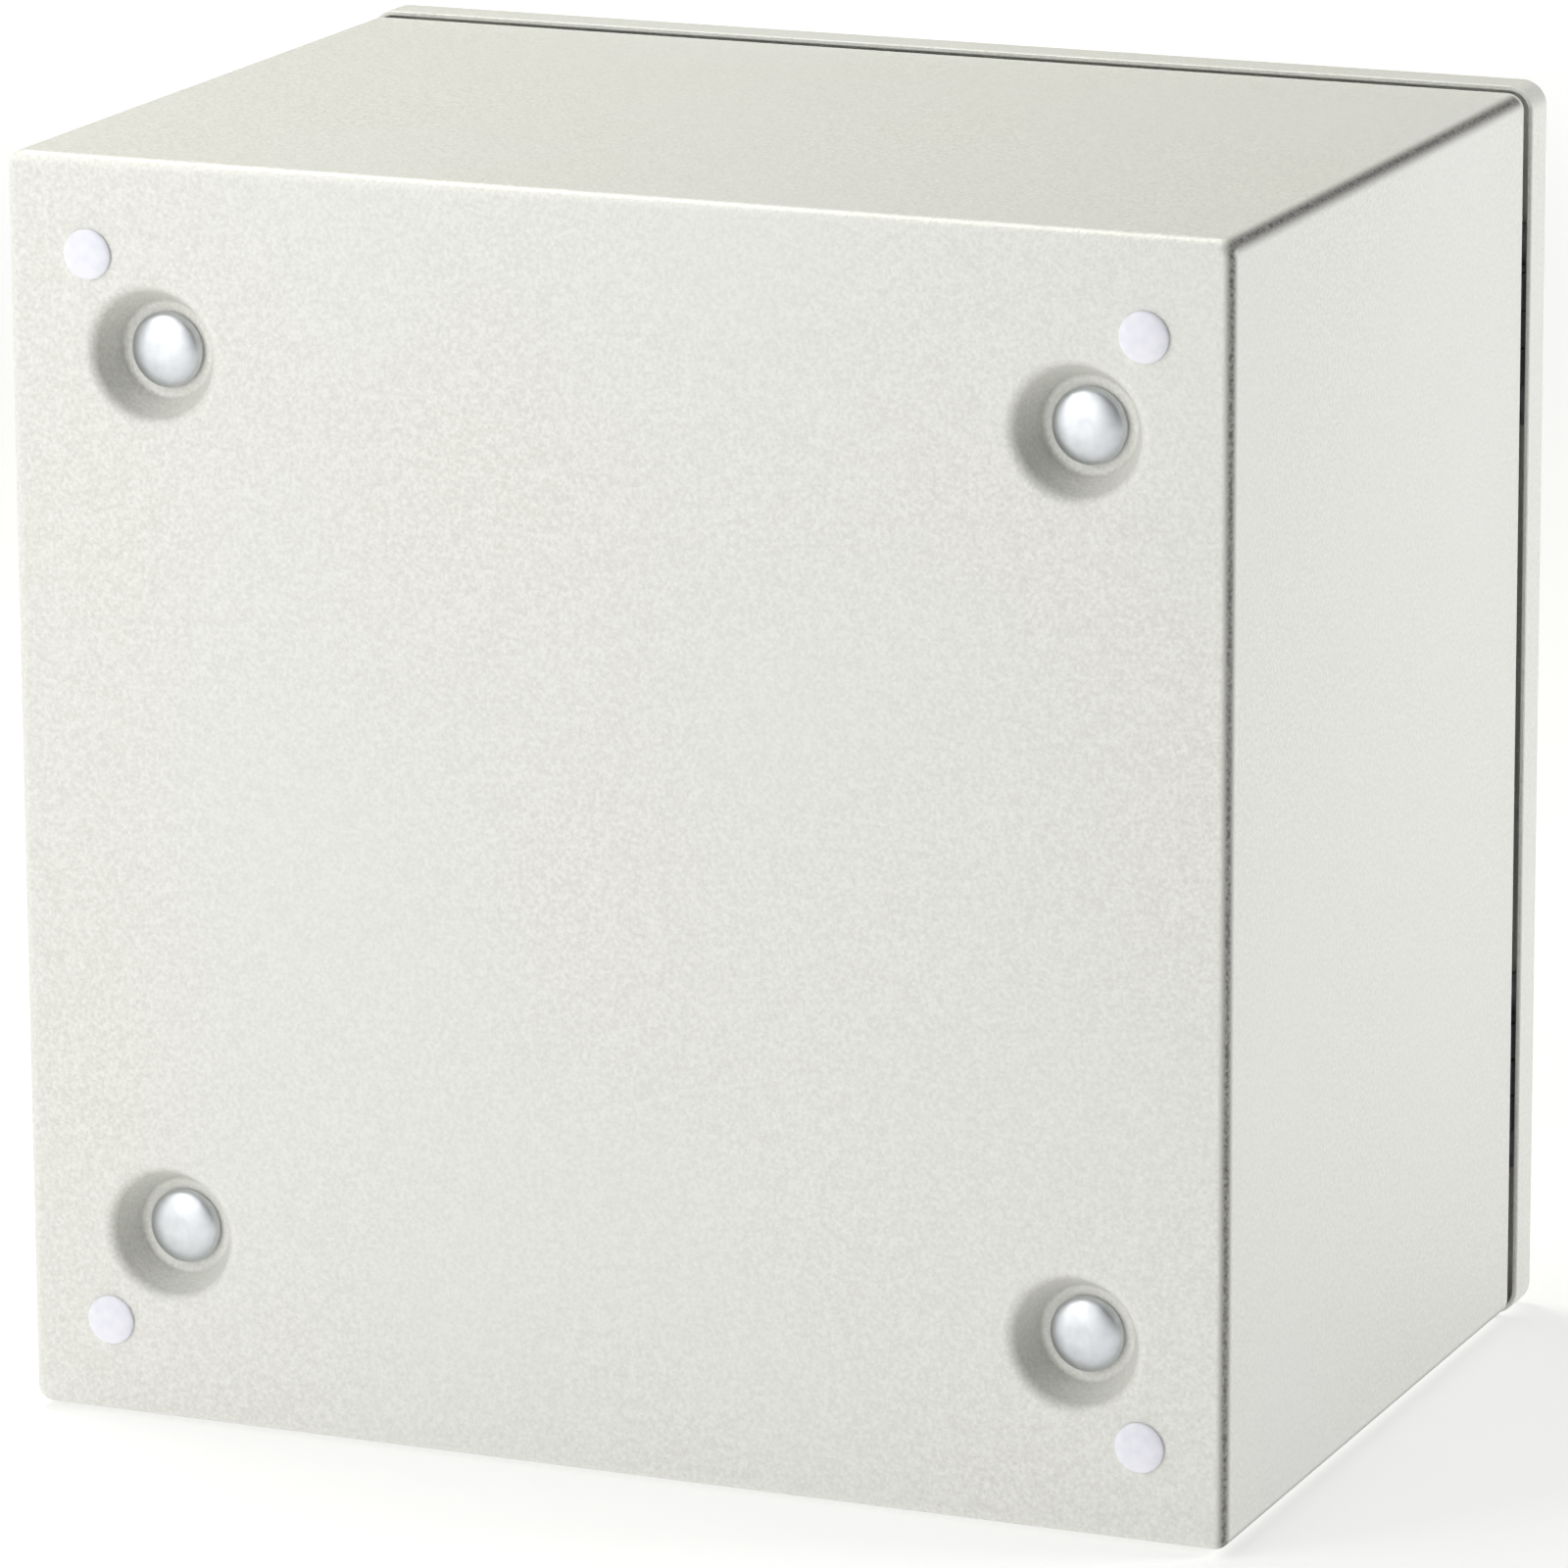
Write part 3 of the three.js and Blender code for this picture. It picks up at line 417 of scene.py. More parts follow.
def paintedRecessShade(tree, where):
    # painted shade in the bolt recesses, where the cups lie in shade: grows with the steepness of a recess's
    # wall; the limits leave out the outer folds and all of the front
    normal = addNode(tree, "SeparateXYZ", [addNode(tree, "TexCoord").outputs["Normal"]])
    facing = addNode(tree, "Math", [normal.outputs["Y"], 2], operation="POWER").outputs[0]
    share = addNode(tree, "Math", [1, facing], operation="SUBTRACT").outputs[0]
    place = addNode(tree, "SeparateXYZ", [where])
    floorAt = (bodyBack - bodySet["recessDepth"]) / 1000
    limits = [addNode(tree, "Math", [place.outputs["Y"], floorAt], operation="GREATER_THAN").outputs[0]]
    for axis, centre, half in (("X", 0, bodyWidth / 2), ("Z", middleHeight, bodyHeight / 2)):
        offset = addNode(tree, "Math", [place.outputs[axis], centre / 1000], operation="SUBTRACT").outputs[0]
        offset = addNode(tree, "Math", [offset], operation="ABSOLUTE").outputs[0]
        edge = (half - coatSet["foldShadeZoneMm"]) / 1000
        limits.append(addNode(tree, "Math", [offset, edge], operation="LESS_THAN").outputs[0])
    for value in (*limits, coatSet["paintedRecessShade"]):
        share = addNode(tree, "Math", [share, value], operation="MULTIPLY").outputs[0]
    return share


def texturedPowderCoat():
    # polyester powder coat, baked with a fine structure: satin, slightly grainy, warm light grey; painted
    # shade is mixed into its folds and bolt recesses
    material, tree, where = newMaterial("texturedPowderCoat")
    grain = addNode(tree, "TexNoise", {
        "Vector": where, "Scale": patternScale(coatSet["grainMm"]), "Detail": 2.5, "Roughness": 0.6,
    }).outputs["Fac"]
    drift = addNode(tree, "TexNoise", {
        "Vector": where, "Scale": patternScale(coatSet["driftMm"]), "Detail": 1.0,
    }).outputs["Fac"]
    speckle = addNode(tree, "MapRange", [grain, *noiseRange, 0, 1]).outputs[0]
    cooling = addNode(tree, "MapRange", [drift, *noiseRange, 0, coatSet["coolShare"]]).outputs[0]
    colour = coatSet["dark"]
    # the last two mixes are painted shade: on the hinged side's folds and on the bolt recess walls
    for share, over in ((speckle, "light"), (cooling, "cool"), (paintedFoldShade(tree, where, grain), "foldShadeColour"),
                        (paintedRecessShade(tree, where), "recessShadeColour")):
        colour = addNode(tree, "Mix", {"Factor": share, 6: colour, 7: coatSet[over]},
                         data_type="RGBA").outputs[2]
    rough = addNode(tree, "MapRange", [grain, *noiseRange, *coatSet["roughness"]]).outputs[0]
    bump = addNode(tree, "Bump", {
        "Height": grain, "Strength": 1.0, "Distance": coatSet["grainDepth"] / 1000,
    }).outputs["Normal"]
    shader = addNode(tree, "BsdfPrincipled", {
        "Base Color": colour, "Roughness": rough, "IOR": 1.5, "Normal": bump,
    })
    addNode(tree, "OutputMaterial", [shader.outputs["BSDF"]])
    return material


def closeSurface(tree, pattern, colours, inputs, relief, strength, depthMm, roughness=None, span=noiseRange):
    # two colours mixed by a pattern, a relief in the skin, and the shader that takes them
    share = addNode(tree, "MapRange", [pattern, *span, 0, 1]).outputs[0]
    mixed = addNode(tree, "Mix", {"Factor": share, 6: colours[0], 7: colours[1]}, data_type="RGBA")
    bump = addNode(tree, "Bump", {"Height": relief, "Strength": strength, "Distance": abs(depthMm) / 1000},
                   invert=depthMm < 0)
    inputs = {"Base Color": mixed.outputs[2], "Normal": bump.outputs["Normal"], **inputs}
    if roughness:
        inputs["Roughness"] = addNode(tree, "MapRange", [pattern, *noiseRange, *roughness]).outputs[0]
    shader = addNode(tree, "BsdfPrincipled", inputs)
    addNode(tree, "OutputMaterial", [shader.outputs["BSDF"]])


def brightZincPlate():
    # electroplated zinc over steel: bright, faintly blue, with soft polishing marks
    material, tree, where = newMaterial("brightZincPlate")
    cloud = addNode(tree, "TexNoise", {
        "Vector": where, "Scale": patternScale(3), "Detail": 3.0,
    }).outputs["Fac"]
    marks = addNode(tree, "TexNoise", {
        "Vector": where, "Scale": patternScale(0.4), "Detail": 2.0,
    }).outputs["Fac"]
    closeSurface(tree, cloud, ("#dadde1", "#cfd2d6"), {"Metallic": 1.0}, marks, 0.4, 0.004, (0.37, 0.47))
    return material


def galvanisedSheet():
    # hot-dip zinc: dull metal with crystal spangles about 9 mm across
    material, tree, where = newMaterial("galvanisedSheet")
    spangle = addNode(tree, "TexVoronoi", {"Vector": where, "Scale": patternScale(9)})
    shade = addNode(tree, "SeparateColor", {"Color": spangle.outputs["Color"]}).outputs["Red"]
    haze = addNode(tree, "TexNoise", {
        "Vector": where, "Scale": patternScale(1.5), "Detail": 4.0,
    }).outputs["Fac"]
    veil = addNode(tree, "MapRange", [haze, *noiseRange, 0, 0.5]).outputs[0]
    colour = addNode(tree, "Mix", {"Factor": shade, 6: "#aeb2b4", 7: "#c6cacb"}, data_type="RGBA").outputs[2]
    colour = addNode(tree, "Mix", {"Factor": veil, 6: colour, 7: "#b9bcbd"}, data_type="RGBA").outputs[2]
    rough = addNode(tree, "MapRange", [shade, 0, 1, 0.38, 0.52]).outputs[0]
    shader = addNode(tree, "BsdfPrincipled", {"Base Color": colour, "Metallic": 1.0, "Roughness": rough})
    addNode(tree, "OutputMaterial", [shader.outputs["BSDF"]])
    return material


def castZinc(name, light, dark, rough):
    # pressure die-cast zinc: satin skin with a very fine pebble from the die
    material, tree, where = newMaterial(name)
    pebble = addNode(tree, "TexNoise", {
        "Vector": where, "Scale": patternScale(0.6), "Detail": 3.0,
    }).outputs["Fac"]
    closeSurface(tree, pebble, (dark, light), {"Metallic": 1.0}, pebble, 0.5, 0.01, (rough, rough + 0.1))
    return material


def foamedPolyurethane():
    # closed-cell sealing foam: matt charcoal, with its 0.5 mm cells drawn at 0.9 mm so that they show
    material, tree, where = newMaterial("foamedPolyurethane")
    cells = addNode(tree, "TexVoronoi", {"Vector": where, "Scale": patternScale(0.9)}).outputs["Distance"]
    closeSurface(tree, cells, ("#3c3d40", "#232427"), {"Roughness": 0.92, "IOR": 1.45}, cells, 0.7, -0.1,
                 span=(0.1, 0.8))
    return material


def mouldedPolyethylene():
    # injection-moulded white plastic: soft gloss, a touch cooler than the paint
    material, tree, where = newMaterial("mouldedPolyethylene")
    skin = addNode(tree, "TexNoise", {
        "Vector": where, "Scale": patternScale(2.5), "Detail": 2.0,
    }).outputs["Fac"]
    closeSurface(tree, skin, ("#e6e6f0", "#eeeef6"), {"Roughness": 0.34, "IOR": 1.51}, skin, 0.3, 0.01)
    return material


finishes = {
    "powder_coat": texturedPowderCoat(),
    "zinc_plate": brightZincPlate(),
    "galvanised": galvanisedSheet(),
    "zinc_cast": castZinc("satinDieCast", "#a4a8aa", "#949899", 0.36),
    "lock_cast": castZinc("nickelledDieCast", "#b4b3ae", "#a3a29d", 0.26),
    "foam": foamedPolyurethane(),
    "plug_plastic": mouldedPolyethylene(),
}
print("materials ready")


# folded body

def cupProfile(back, extra):
    # wall of a pressed cup, from its rim to its floor: a soft shoulder, a steep draw and a tighter corner
    rim, floor, depth = bodySet["recessRim"] + extra, bodySet["recessFloor"] + extra, bodySet["recessDepth"]
    shoulder, foot, slope = bodySet["recessShoulder"], bodySet["recessFoot"], bodySet["recessSlope"]
    points = arc(rim, back - shoulder, shoulder, 90, 90 + slope, 10)
    points += arc(floor, back - depth + foot, foot, 270 + slope, 270, 8)
    return points


def panLoops(bm, width, height, corner, frontBend, front, backBend=None, back=None):
    # loops of a folded box's skin, from its front face to its back face or, without one, to its open edge
    turns = [math.pi / 2 * i / bodySet["bendSteps"] for i in range(bodySet["bendSteps"] + 1)]
    rows = [(frontBend * (1 - math.sin(t)), front + frontBend * (1 - math.cos(t))) for t in turns]
    if back is not None:
        rows += [(backBend * (1 - math.cos(t)), back - backBend * (1 - math.sin(t))) for t in turns]
    return [frameLoop(bm, width - 2 * inset, height - 2 * inset, corner - inset, y) for inset, y in rows]


def frameLoop(bm, width, height, r, y, steps=bodySet["cornerSteps"]):
    # a rounded rectangle round the cabinet's middle
    return addLoop(bm, roundRect(width, height, r, y, "Y", (0, middleHeight), steps))


def drawBody(bm):
    size, turnSteps = bodySet, bodySet["bendSteps"]
    baseEdge = 3 * (size["cornerSteps"] + 1) - 1    # the loops' straight edge along the base
    flangeRear = bodyFront + sheet
    outer = panLoops(bm, bodyWidth, bodyHeight, size["corner"], size["frontBend"], bodyFront,
                     size["bend"], bodyBack)
    inner = panLoops(bm, bodyWidth - 2 * sheet, bodyHeight - 2 * sheet, size["corner"] - sheet,
                     size["frontBend"] - sheet, flangeRear, size["bend"] - sheet, bodyBack - sheet)
    entryLoops = []
    for skin, z in ((outer, bodyLow.z), (inner, bodyLow.z + sheet)):
        bridgeAll(bm, skin[:turnSteps + 1])
        bridge(bm, skin[turnSteps], skin[turnSteps + 1], baseEdge)
        bridgeAll(bm, skin[turnSteps + 1:])
        entry = addLoop(bm, roundRect(entryWidth, entryDepth, bodySet["entryCorner"], z, "Z", entryMiddle, 6))
        a, b = skin[turnSteps], skin[turnSteps + 1]
        base = [a[baseEdge], a[baseEdge + 1], b[baseEdge + 1], b[baseEdge]]
        fillFlat(bm, [base, entry], "Z")
        entryLoops.append(entry)
    bridge(bm, entryLoops[0], entryLoops[1])

    outerHoles, innerHoles, edge = [], [], size["edge"]
    for corner in corners:
        bolt, plug = cadMiddle("mounting_bolt_" + corner), cadMiddle("wall_plug_" + corner)
        floorY = bodyBack - bodySet["recessDepth"]
        hole = bodySet["boltHole"]
        cup = cupProfile(bodyBack, 0) + [(hole + edge, floorY), (hole, floorY - edge)]
        cup += [(hole, floorY - sheet)] + cupProfile(bodyBack - sheet, 0.85 * sheet)[::-1]
        first, last = throughFeature(bm, cup, "Y", (bolt.x, bolt.z), 64)
        outerHoles.append(first)
        innerHoles.append(last)

        seat, deep, hole = bodySet["plugSeat"], bodySet["plugSeatDepth"], bodySet["plugHole"]
        pressed = [(seat, bodyBack), (seat - 0.1, bodyBack - 0.1), (seat - 0.1, bodyBack - deep),
                   (hole + 0.1, bodyBack - deep), (hole, bodyBack - deep - 0.1),
                   (hole, bodyBack - deep - sheet), (seat + sheet - 0.4, bodyBack - deep - sheet),
                   (seat + sheet, bodyBack - deep - sheet + 0.4), (seat + sheet, bodyBack - sheet)]
        first, last = throughFeature(bm, pressed, "Y", (plug.x, plug.z), 40)
        outerHoles.append(first)
        innerHoles.append(last)
    fillFlat(bm, [outer[-1], *outerHoles])
    fillFlat(bm, [inner[-1], *innerHoles])

    # front flange, with the sealing lip folded forward round the mouth
    lipWidth, lipHeight = mouthWidth + 2 * sheet, mouthHeight + 2 * sheet
    lipR, tip, root, end = size["lipCorner"] + sheet, bodyLow.y, size["lipRoot"], size["lipEdge"]
    rows = [(root - root * math.sin(t), bodyFront - root + root * math.cos(t))
            for t in [math.pi / 2 * i / 5 for i in range(6)]]
    rows += [(0, tip + end), (-end, tip), (end - sheet, tip), (-sheet, tip + end)]
    rows += [(root - (root + sheet) * math.sin(t), bodyFront - root + (root + sheet) * math.cos(t))
             for t in [math.pi / 2 * (1 - i / 6) for i in range(7)]]
    lip = [frameLoop(bm, lipWidth + 2 * out, lipHeight + 2 * out, lipR + out, y) for out, y in rows]
    bridgeAll(bm, lip)
    frontHoles, rearHoles = [], []
    for hinge in levels:
        for end in levels:
            at = cadMiddle(f"{hinge}_hinge_{end}_screw")
            r, top = bodySet["screwHole"], flangeRear + bodySet["collarHeight"]
            collar = [(r + edge, bodyFront), (r, bodyFront + edge), (r, top - edge), (r + edge, top),
                      (r + 1.1, top), (r + 1.4, top - 0.3), (r + 1.4, flangeRear + 0.1),
                      (r + 1.5, flangeRear)]
            first, last = throughFeature(bm, collar, "Y", (at.x, at.z), 32)
            frontHoles.append(first)
            rearHoles.append(last)
    fillFlat(bm, [outer[0], lip[0], *frontHoles])
    fillFlat(bm, [inner[0], lip[-1], *rearHoles])


finishPiece(solid("cabinetShell", drawBody), "powder_coat", "cabinet_body", ["body_shell"])


# weld studs, nuts and washers

studSet = {
    "glandStud": {"r": 2.5, "pitch": 0.8, "tail": 2.5},
    "earthStud": {"r": 3.0, "pitch": 1.0, "length": 15.0},
    "leafStud": {"r": 2.0, "pitch": 0.7, "tail": 1.0},
}
# across the flats, height and hole radius
nutSizes = {"M4": (7.0, 3.2, 2.3), "M5": (8.0, 4.0, 2.8), "M6": (10.0, 5.0, 3.3)}
washerSet = {"outerR": 6.2, "holeR": 3.3, "thickness": 1.6, "edge": 0.25}


def drawStud(r, length, pitch, axis):
    # stands on its weld: a small fillet, then thread up to the chamfered tip
    def draw(bm):
        weld = [(0, -0.2), (r + 0.7, -0.2), (r + 0.7, 0.02), (r + 0.3, 0.2), (r, 0.7)]
        turned(bm, weld + threadRun(r, 0.9, length, pitch) + [(0, length)], axis, count=24, pitch=pitch)
    return draw


def drawNut(flats, height, holeR, axis, count=48):
    def draw(bm):
        half, flatR, slope = height / 2, flats / 2 * 0.96, math.tan(math.radians(30))
        rings = []
        for side in (-1, 1):
            hexagon = []
            for i in range(count):
                turn = 2 * math.pi * i / count
                lean = (turn + math.pi / 6) % (math.pi / 3) - math.pi / 6
                reach = flats / 2 / math.cos(lean)
                w = side * (half - (reach - flatR) * slope)
                hexagon.append(toAxis(reach * math.cos(turn), reach * math.sin(turn), w, axis))
            face = [circle(holeR, side * (half - 0.4), axis, count=count),
                    circle(holeR + 0.4, side * half, axis, count=count),
                    circle(flatR, side * half, axis, count=count), hexagon]
            rings += face if side < 0 else face[::-1]
        bridgeAll(bm, [addLoop(bm, ring) for ring in rings], closed=True)
    return draw


def drawWasher(axis):
    def draw(bm):
        holeR, outerR, e = washerSet["holeR"], washerSet["outerR"], washerSet["edge"]
        half = washerSet["thickness"] / 2
        turned(bm, [(holeR, e - half), (holeR + e, -half), (outerR - e, -half), (outerR, e - half),
                    (outerR, half - e), (outerR - e, half), (holeR + e, half), (holeR, half - e)],
               axis, count=40, closed=True)
    return draw


def addFixing(name, node, kind, body, axis="Y"):
    # one nut or washer, centred on its CAD node
    draw = drawWasher(axis) if kind == "washer" else drawNut(*nutSizes[kind], axis)
    addAlike((kind, axis, body), name, lambda own: solid(own, draw), "zinc_plate", body, [node],
             cadMiddle(node), 28)


def addStud(name, kind, body, node, place, length, axis):
    draw = drawStud(studSet[kind]["r"], length, studSet[kind]["pitch"], axis)
    addAlike((kind, body), name, lambda own: solid(own, draw), "zinc_plate", body, [node], place)


studBase = bodyLow.z + sheet
for end in glandEnds:
    node = "gland_nut_" + end
    at = cadMiddle(node)
    length = cadBox(node)[1].z + studSet["glandStud"]["tail"] - studBase
    addStud("glandStud_" + end, "glandStud", "cabinet_body", "body_shell", (at.x, at.y, studBase),
            length, "Z")
    addFixing("glandNut_" + end, node, "M5", "cabinet_body", "Z")

at = cadMiddle("body_earth_nut")
addStud("bodyEarthStud", "earthStud", "cabinet_body", "body_shell", (at.x, at.y, studBase),
        studSet["earthStud"]["length"], "Z")
addFixing("bodyEarthWasher", "body_earth_washer", "washer", "cabinet_body", "Z")
addFixing("bodyEarthNut", "body_earth_nut", "M6", "cabinet_body", "Z")


# bolts through the back panel, and the mounting plate they carry

boltSet = {
    "shankR": 3.0, "pitch": 1.0, "headR": 8.8, "headHeight": 3.2, "edgeHeight": 1.0, "edgeBevel": 0.35,
    "domeStart": 0.14,      # share of a quarter turn at which the dome leaves the bevel
    "domeSteps": 22, "crownFlatR": 2.0, "crownDip": 0.02,
}


def drawBolt(bm):
    size = boltSet
    low, high = cadBox("mounting_bolt_" + corners[0])
    shankR, headR, rise, edge = size["shankR"], size["headR"], size["headHeight"], size["edgeHeight"]
    length = high.y - low.y - rise
    shank = threadRun(shankR, -1.5, -length, size["pitch"])[::-1]
    head = [(shankR, -1.2), (shankR, 0), (headR - 0.3, 0), (headR, 0.2), (headR, edge)]
    domeR, domeY = headR - size["edgeBevel"], edge + size["edgeBevel"]
    first = math.pi / 2 * size["domeStart"]
    for i in range(size["domeSteps"]):
        turn = first + (math.pi / 2 - first) * i / size["domeSteps"]
        r = domeR * math.cos(turn) / math.cos(first)
        y = domeY + (rise - domeY) * (math.sin(turn) - math.sin(first)) / (1 - math.sin(first))
        if r > size["crownFlatR"]:
            head.append((r, y))
    flatR, dip = size["crownFlatR"], size["crownDip"]
    crown = [(0.6 * flatR, rise - 1.5 * dip), (0.25 * flatR, rise - dip), (0, rise - dip)]
    turned(bm, [(0, -length)] + shank + head + crown, "Y", count=64, pitch=size["pitch"])


plugSet = {
    "flangeR": 5.85, "seatR": 5.4, "seatDepth": 0.6, "crown": 1.4, "rimHeight": 0.44, "crownPower": 0.8,
    "stemR": 3.95, "stemLength": 6.0, "barbR": 4.7, "barbDrop": 1.8, "noseR": 2.6, "slot": 1.2,
}


def drawPlug(bm):
    size = plugSet
    depth = -size["seatDepth"]
    tip, barbY = depth - size["stemLength"], depth - size["barbDrop"]
    nose, barb, stem, seat, flange = [size[k] for k in ("noseR", "barbR", "stemR", "seatR", "flangeR")]
    profile = [(0, tip), (nose, tip), (nose + 0.5, tip + 0.3), (barb, barbY - 0.8), (barb, barbY - 0.2),
               (barb - 0.2, barbY), (stem, barbY), (stem, depth), (seat, depth),
               (seat, 0.04), (flange - 0.1, 0.04), (flange, 0.15)]
    for i in range(1, 15):
        turn, rimY = math.pi / 2 * i / 15, size["rimHeight"]
        profile.append((flange * math.cos(turn) ** size["crownPower"],
                        rimY + (size["crown"] - rimY) * math.sin(turn)))
    turned(bm, profile + [(0, size["crown"])], "Y", count=48)


def drawPlugSlot(bm):
    half = plugSet["slot"] / 2
    block(bm, (-half, -12, -8), (half, -1.6, 8))


for corner in corners:
    boltNode, plugNode = "mounting_bolt_" + corner, "wall_plug_" + corner
    boltAt, plugAt = cadMiddle(boltNode), cadMiddle(plugNode)
    boltAt.y = cadBox(boltNode)[1].y - boltSet["headHeight"]
    plugAt.y = cadBox(plugNode)[1].y - plugSet["crown"]
    addAlike("bolt", "cupHeadBolt_" + corner, lambda own: solid(own, drawBolt),
             "zinc_plate", "cabinet_body", [boltNode], boltAt)
    addAlike("plug", "wallPlug_" + corner,
             lambda own: combine(solid(own, drawPlug), drawPlugSlot, "DIFFERENCE"),
             "plug_plastic", "cabinet_body", [plugNode], plugAt)
    addFixing("clampNut_" + corner, "clamp_nut_" + corner, "M6", "cabinet_body")
    addFixing("plateWasher_" + corner, "plate_washer_" + corner, "washer", "cabinet_body")
    addFixing("plateNut_" + corner, "plate_nut_" + corner, "M6", "cabinet_body")

plateSet = {
    "thickness": 2.0, "cornerCut": 12.0, "seatR": 9.0, "seatDepth": 0.8, "hole": 3.3, "edge": 0.25,
    "cutShare": 0.586,      # 2 less the root of 2: keeps the chamfer's border even at the cut corners
}


def drawPlate(bm):
    size = plateSet
    halfW, halfH, cut = (plateHigh.x - plateLow.x) / 2, (plateHigh.z - plateLow.z) / 2, size["cornerCut"]
    front, back, edge = plateLow.y, plateLow.y + size["thickness"], size["edge"]

    def outline(inset, y):
        w, h = halfW - inset, halfH - inset
        c = cut - inset * size["cutShare"]
        ring = [(w, c - h), (w, h - c), (w - c, h), (c - w, h),
                (-w, h - c), (-w, c - h), (c - w, -h), (w - c, -h)]
        return addLoop(bm, [Vector((x, y, z + middleHeight)) for x, z in ring])

    edges = [outline(edge, front), outline(0, front + edge), outline(0, back - edge), outline(edge, back)]
    bridgeAll(bm, edges)
    frontHoles, backHoles = [], []
    for corner in corners:
        at = cadMiddle("mounting_bolt_" + corner)
        r, deep, hole = size["seatR"], size["seatDepth"], size["hole"]
        seat = [(r + 0.3, front), (r, front + 0.1), (r - 0.5, front + deep - 0.1), (r - 0.8, front + deep),
                (hole + 0.2, front + deep), (hole, front + deep + 0.2), (hole, back + deep),
                (r + 0.1, back + deep), (r + 0.4, back + deep - 0.1), (r + 0.8, back + 0.1), (r + 1.1, back)]
        first, last = throughFeature(bm, seat, "Y", (at.x, at.z), 48)
        frontHoles.append(first)
        backHoles.append(last)
    fillFlat(bm, [edges[0], *frontHoles])
    fillFlat(bm, [edges[-1], *backHoles])


finishPiece(solid("mountingPlate", drawPlate), "galvanised", "cabinet_body", ["mounting_plate"])
print("body, bolts and mounting plate ready")


# gland plate and its gasket

glandSet = {"corner": 6.0, "studHole": 2.8, "edge": 0.3}


def drawGland(node, entry):
    def draw(bm):
        low, high = cadBox(node)
        middle = ((low.x + high.x) / 2, (low.y + high.y) / 2)
        holes = []
        for end in glandEnds:
            at = cadMiddle("gland_nut_" + end)
            holes.append(([(glandSet["studHole"], z) for z in (low.z, high.z)], (at.x, at.y)))
        faces = plateLoops(bm, middle, high.x - low.x, high.y - low.y, glandSet["corner"], low.z, high.z,
                           glandSet["edge"], "Z", 8, holes)
        if entry:
            r = bodySet["entryCorner"]
            opening = [addLoop(bm, roundRect(entryWidth, entryDepth, r, z, "Z", middle, 6))
                       for z in (low.z, high.z)]
            bridge(bm, *opening)
            for face, loop in zip(faces, opening):
                face.append(loop)
        for face in faces:
            fillFlat(bm, face, "Z")
    return draw


finishPiece(solid("glandPlate", drawGland("gland_plate", False)), "powder_coat",
            "cabinet_body", ["gland_plate"])
finishPiece(solid("glandGasket", drawGland("gland_gasket", True)), "foam",
            "cabinet_body", ["gland_gasket"])


# door pan

doorSet = {"bend": 3.0, "corner": 6.0, "latchHole": 10.3, "edge": 0.25}
doorLow, doorHigh = cadBox("door_panel")
doorInner = doorLow.y + sheet
latchAt = cadMiddle("latch_housing")


def panDepth():
    # the pan's own side walls stop where its vertices near the outline do
    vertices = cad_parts["door_panel"].data.vertices
    return max(v.co.y for v in vertices if abs(v.co.x) * 1000 > doorHigh.x - 0.5) * 1000


doorRear = panDepth()


def drawDoor(bm):
    size = doorSet
    width, height = doorHigh.x - doorLow.x, doorHigh.z - doorLow.z
    corner, bend, edge = size["corner"], size["bend"], size["edge"]
    outer = panLoops(bm, width, height, corner, bend, doorLow.y)
    inner = panLoops(bm, width - 2 * sheet, height - 2 * sheet, corner - sheet, bend - sheet, doorInner)
    rim = [frameLoop(bm, width - 2 * inset, height - 2 * inset, corner - inset, y)
           for inset, y in ((0, doorRear - edge), (edge, doorRear), (sheet - edge, doorRear),
                            (sheet, doorRear - edge))]
    bridgeAll(bm, outer + rim + inner[::-1])
    r = size["latchHole"]
    hole = [(r + bodySet["edge"], doorLow.y), (r, doorLow.y + bodySet["edge"]), (r, doorInner)]
    first, last = throughFeature(bm, hole, "Y", (latchAt.x, latchAt.z), 48)
    fillFlat(bm, [outer[0], first])
    fillFlat(bm, [inner[0], last])


finishPiece(solid("doorPan", drawDoor), "powder_coat", "door", ["door_panel"])

at = cadMiddle("door_earth_nut")
addStud("doorEarthStud", "earthStud", "door", "door_panel", (at.x, doorInner, at.z),
        studSet["earthStud"]["length"], "Y")
addFixing("doorEarthWasher", "door_earth_washer", "washer", "door")
addFixing("doorEarthNut", "door_earth_nut", "M6", "door")

gasketSet = {"soft": 1.2, "groove": 0.45, "grooveClear": 0.3}


def drawGasket(bm):
    # poured foam bead with rounded shoulders, dented where the lip presses in
    low, high = cadBox("door_gasket")
    lipR = bodySet["lipCorner"] + sheet
    spreadOut = (high.x - low.x - mouthWidth - 2 * sheet) / 2
    soft, face = gasketSet["soft"], high.y
    grooveY = bodyLow.y - gasketSet["grooveClear"]
    outside, inside = spreadOut, -sheet - spreadOut
    clear = gasketSet["groove"]
    profile = [(inside, low.y), (inside, face - soft)]
    profile += [(u, v) for u, v in arc(inside + soft, face - soft, soft, 180, 90, 4)[1:]]
    profile += [(-sheet - clear - 0.4, face), (-sheet - clear, face - 0.4), (-sheet - clear, grooveY + 0.3),
                (-sheet - clear + 0.3, grooveY), (clear - 0.3, grooveY), (clear, grooveY + 0.3),
                (clear, face - 0.4), (clear + 0.4, face)]
    profile += [(u, v) for u, v in arc(outside - soft, face - soft, soft, 90, 0, 4)]
    profile += [(outside, low.y)]
    width, height = mouthWidth + 2 * sheet, mouthHeight + 2 * sheet
    loops = [frameLoop(bm, width + 2 * out, height + 2 * out, lipR + out, y) for out, y in profile]
    bridgeAll(bm, loops, closed=True)


finishPiece(solid("doorGasket", drawGasket), "foam", "door", ["door_gasket"], sharp=50)
print("door pan and gasket ready")


# hinges

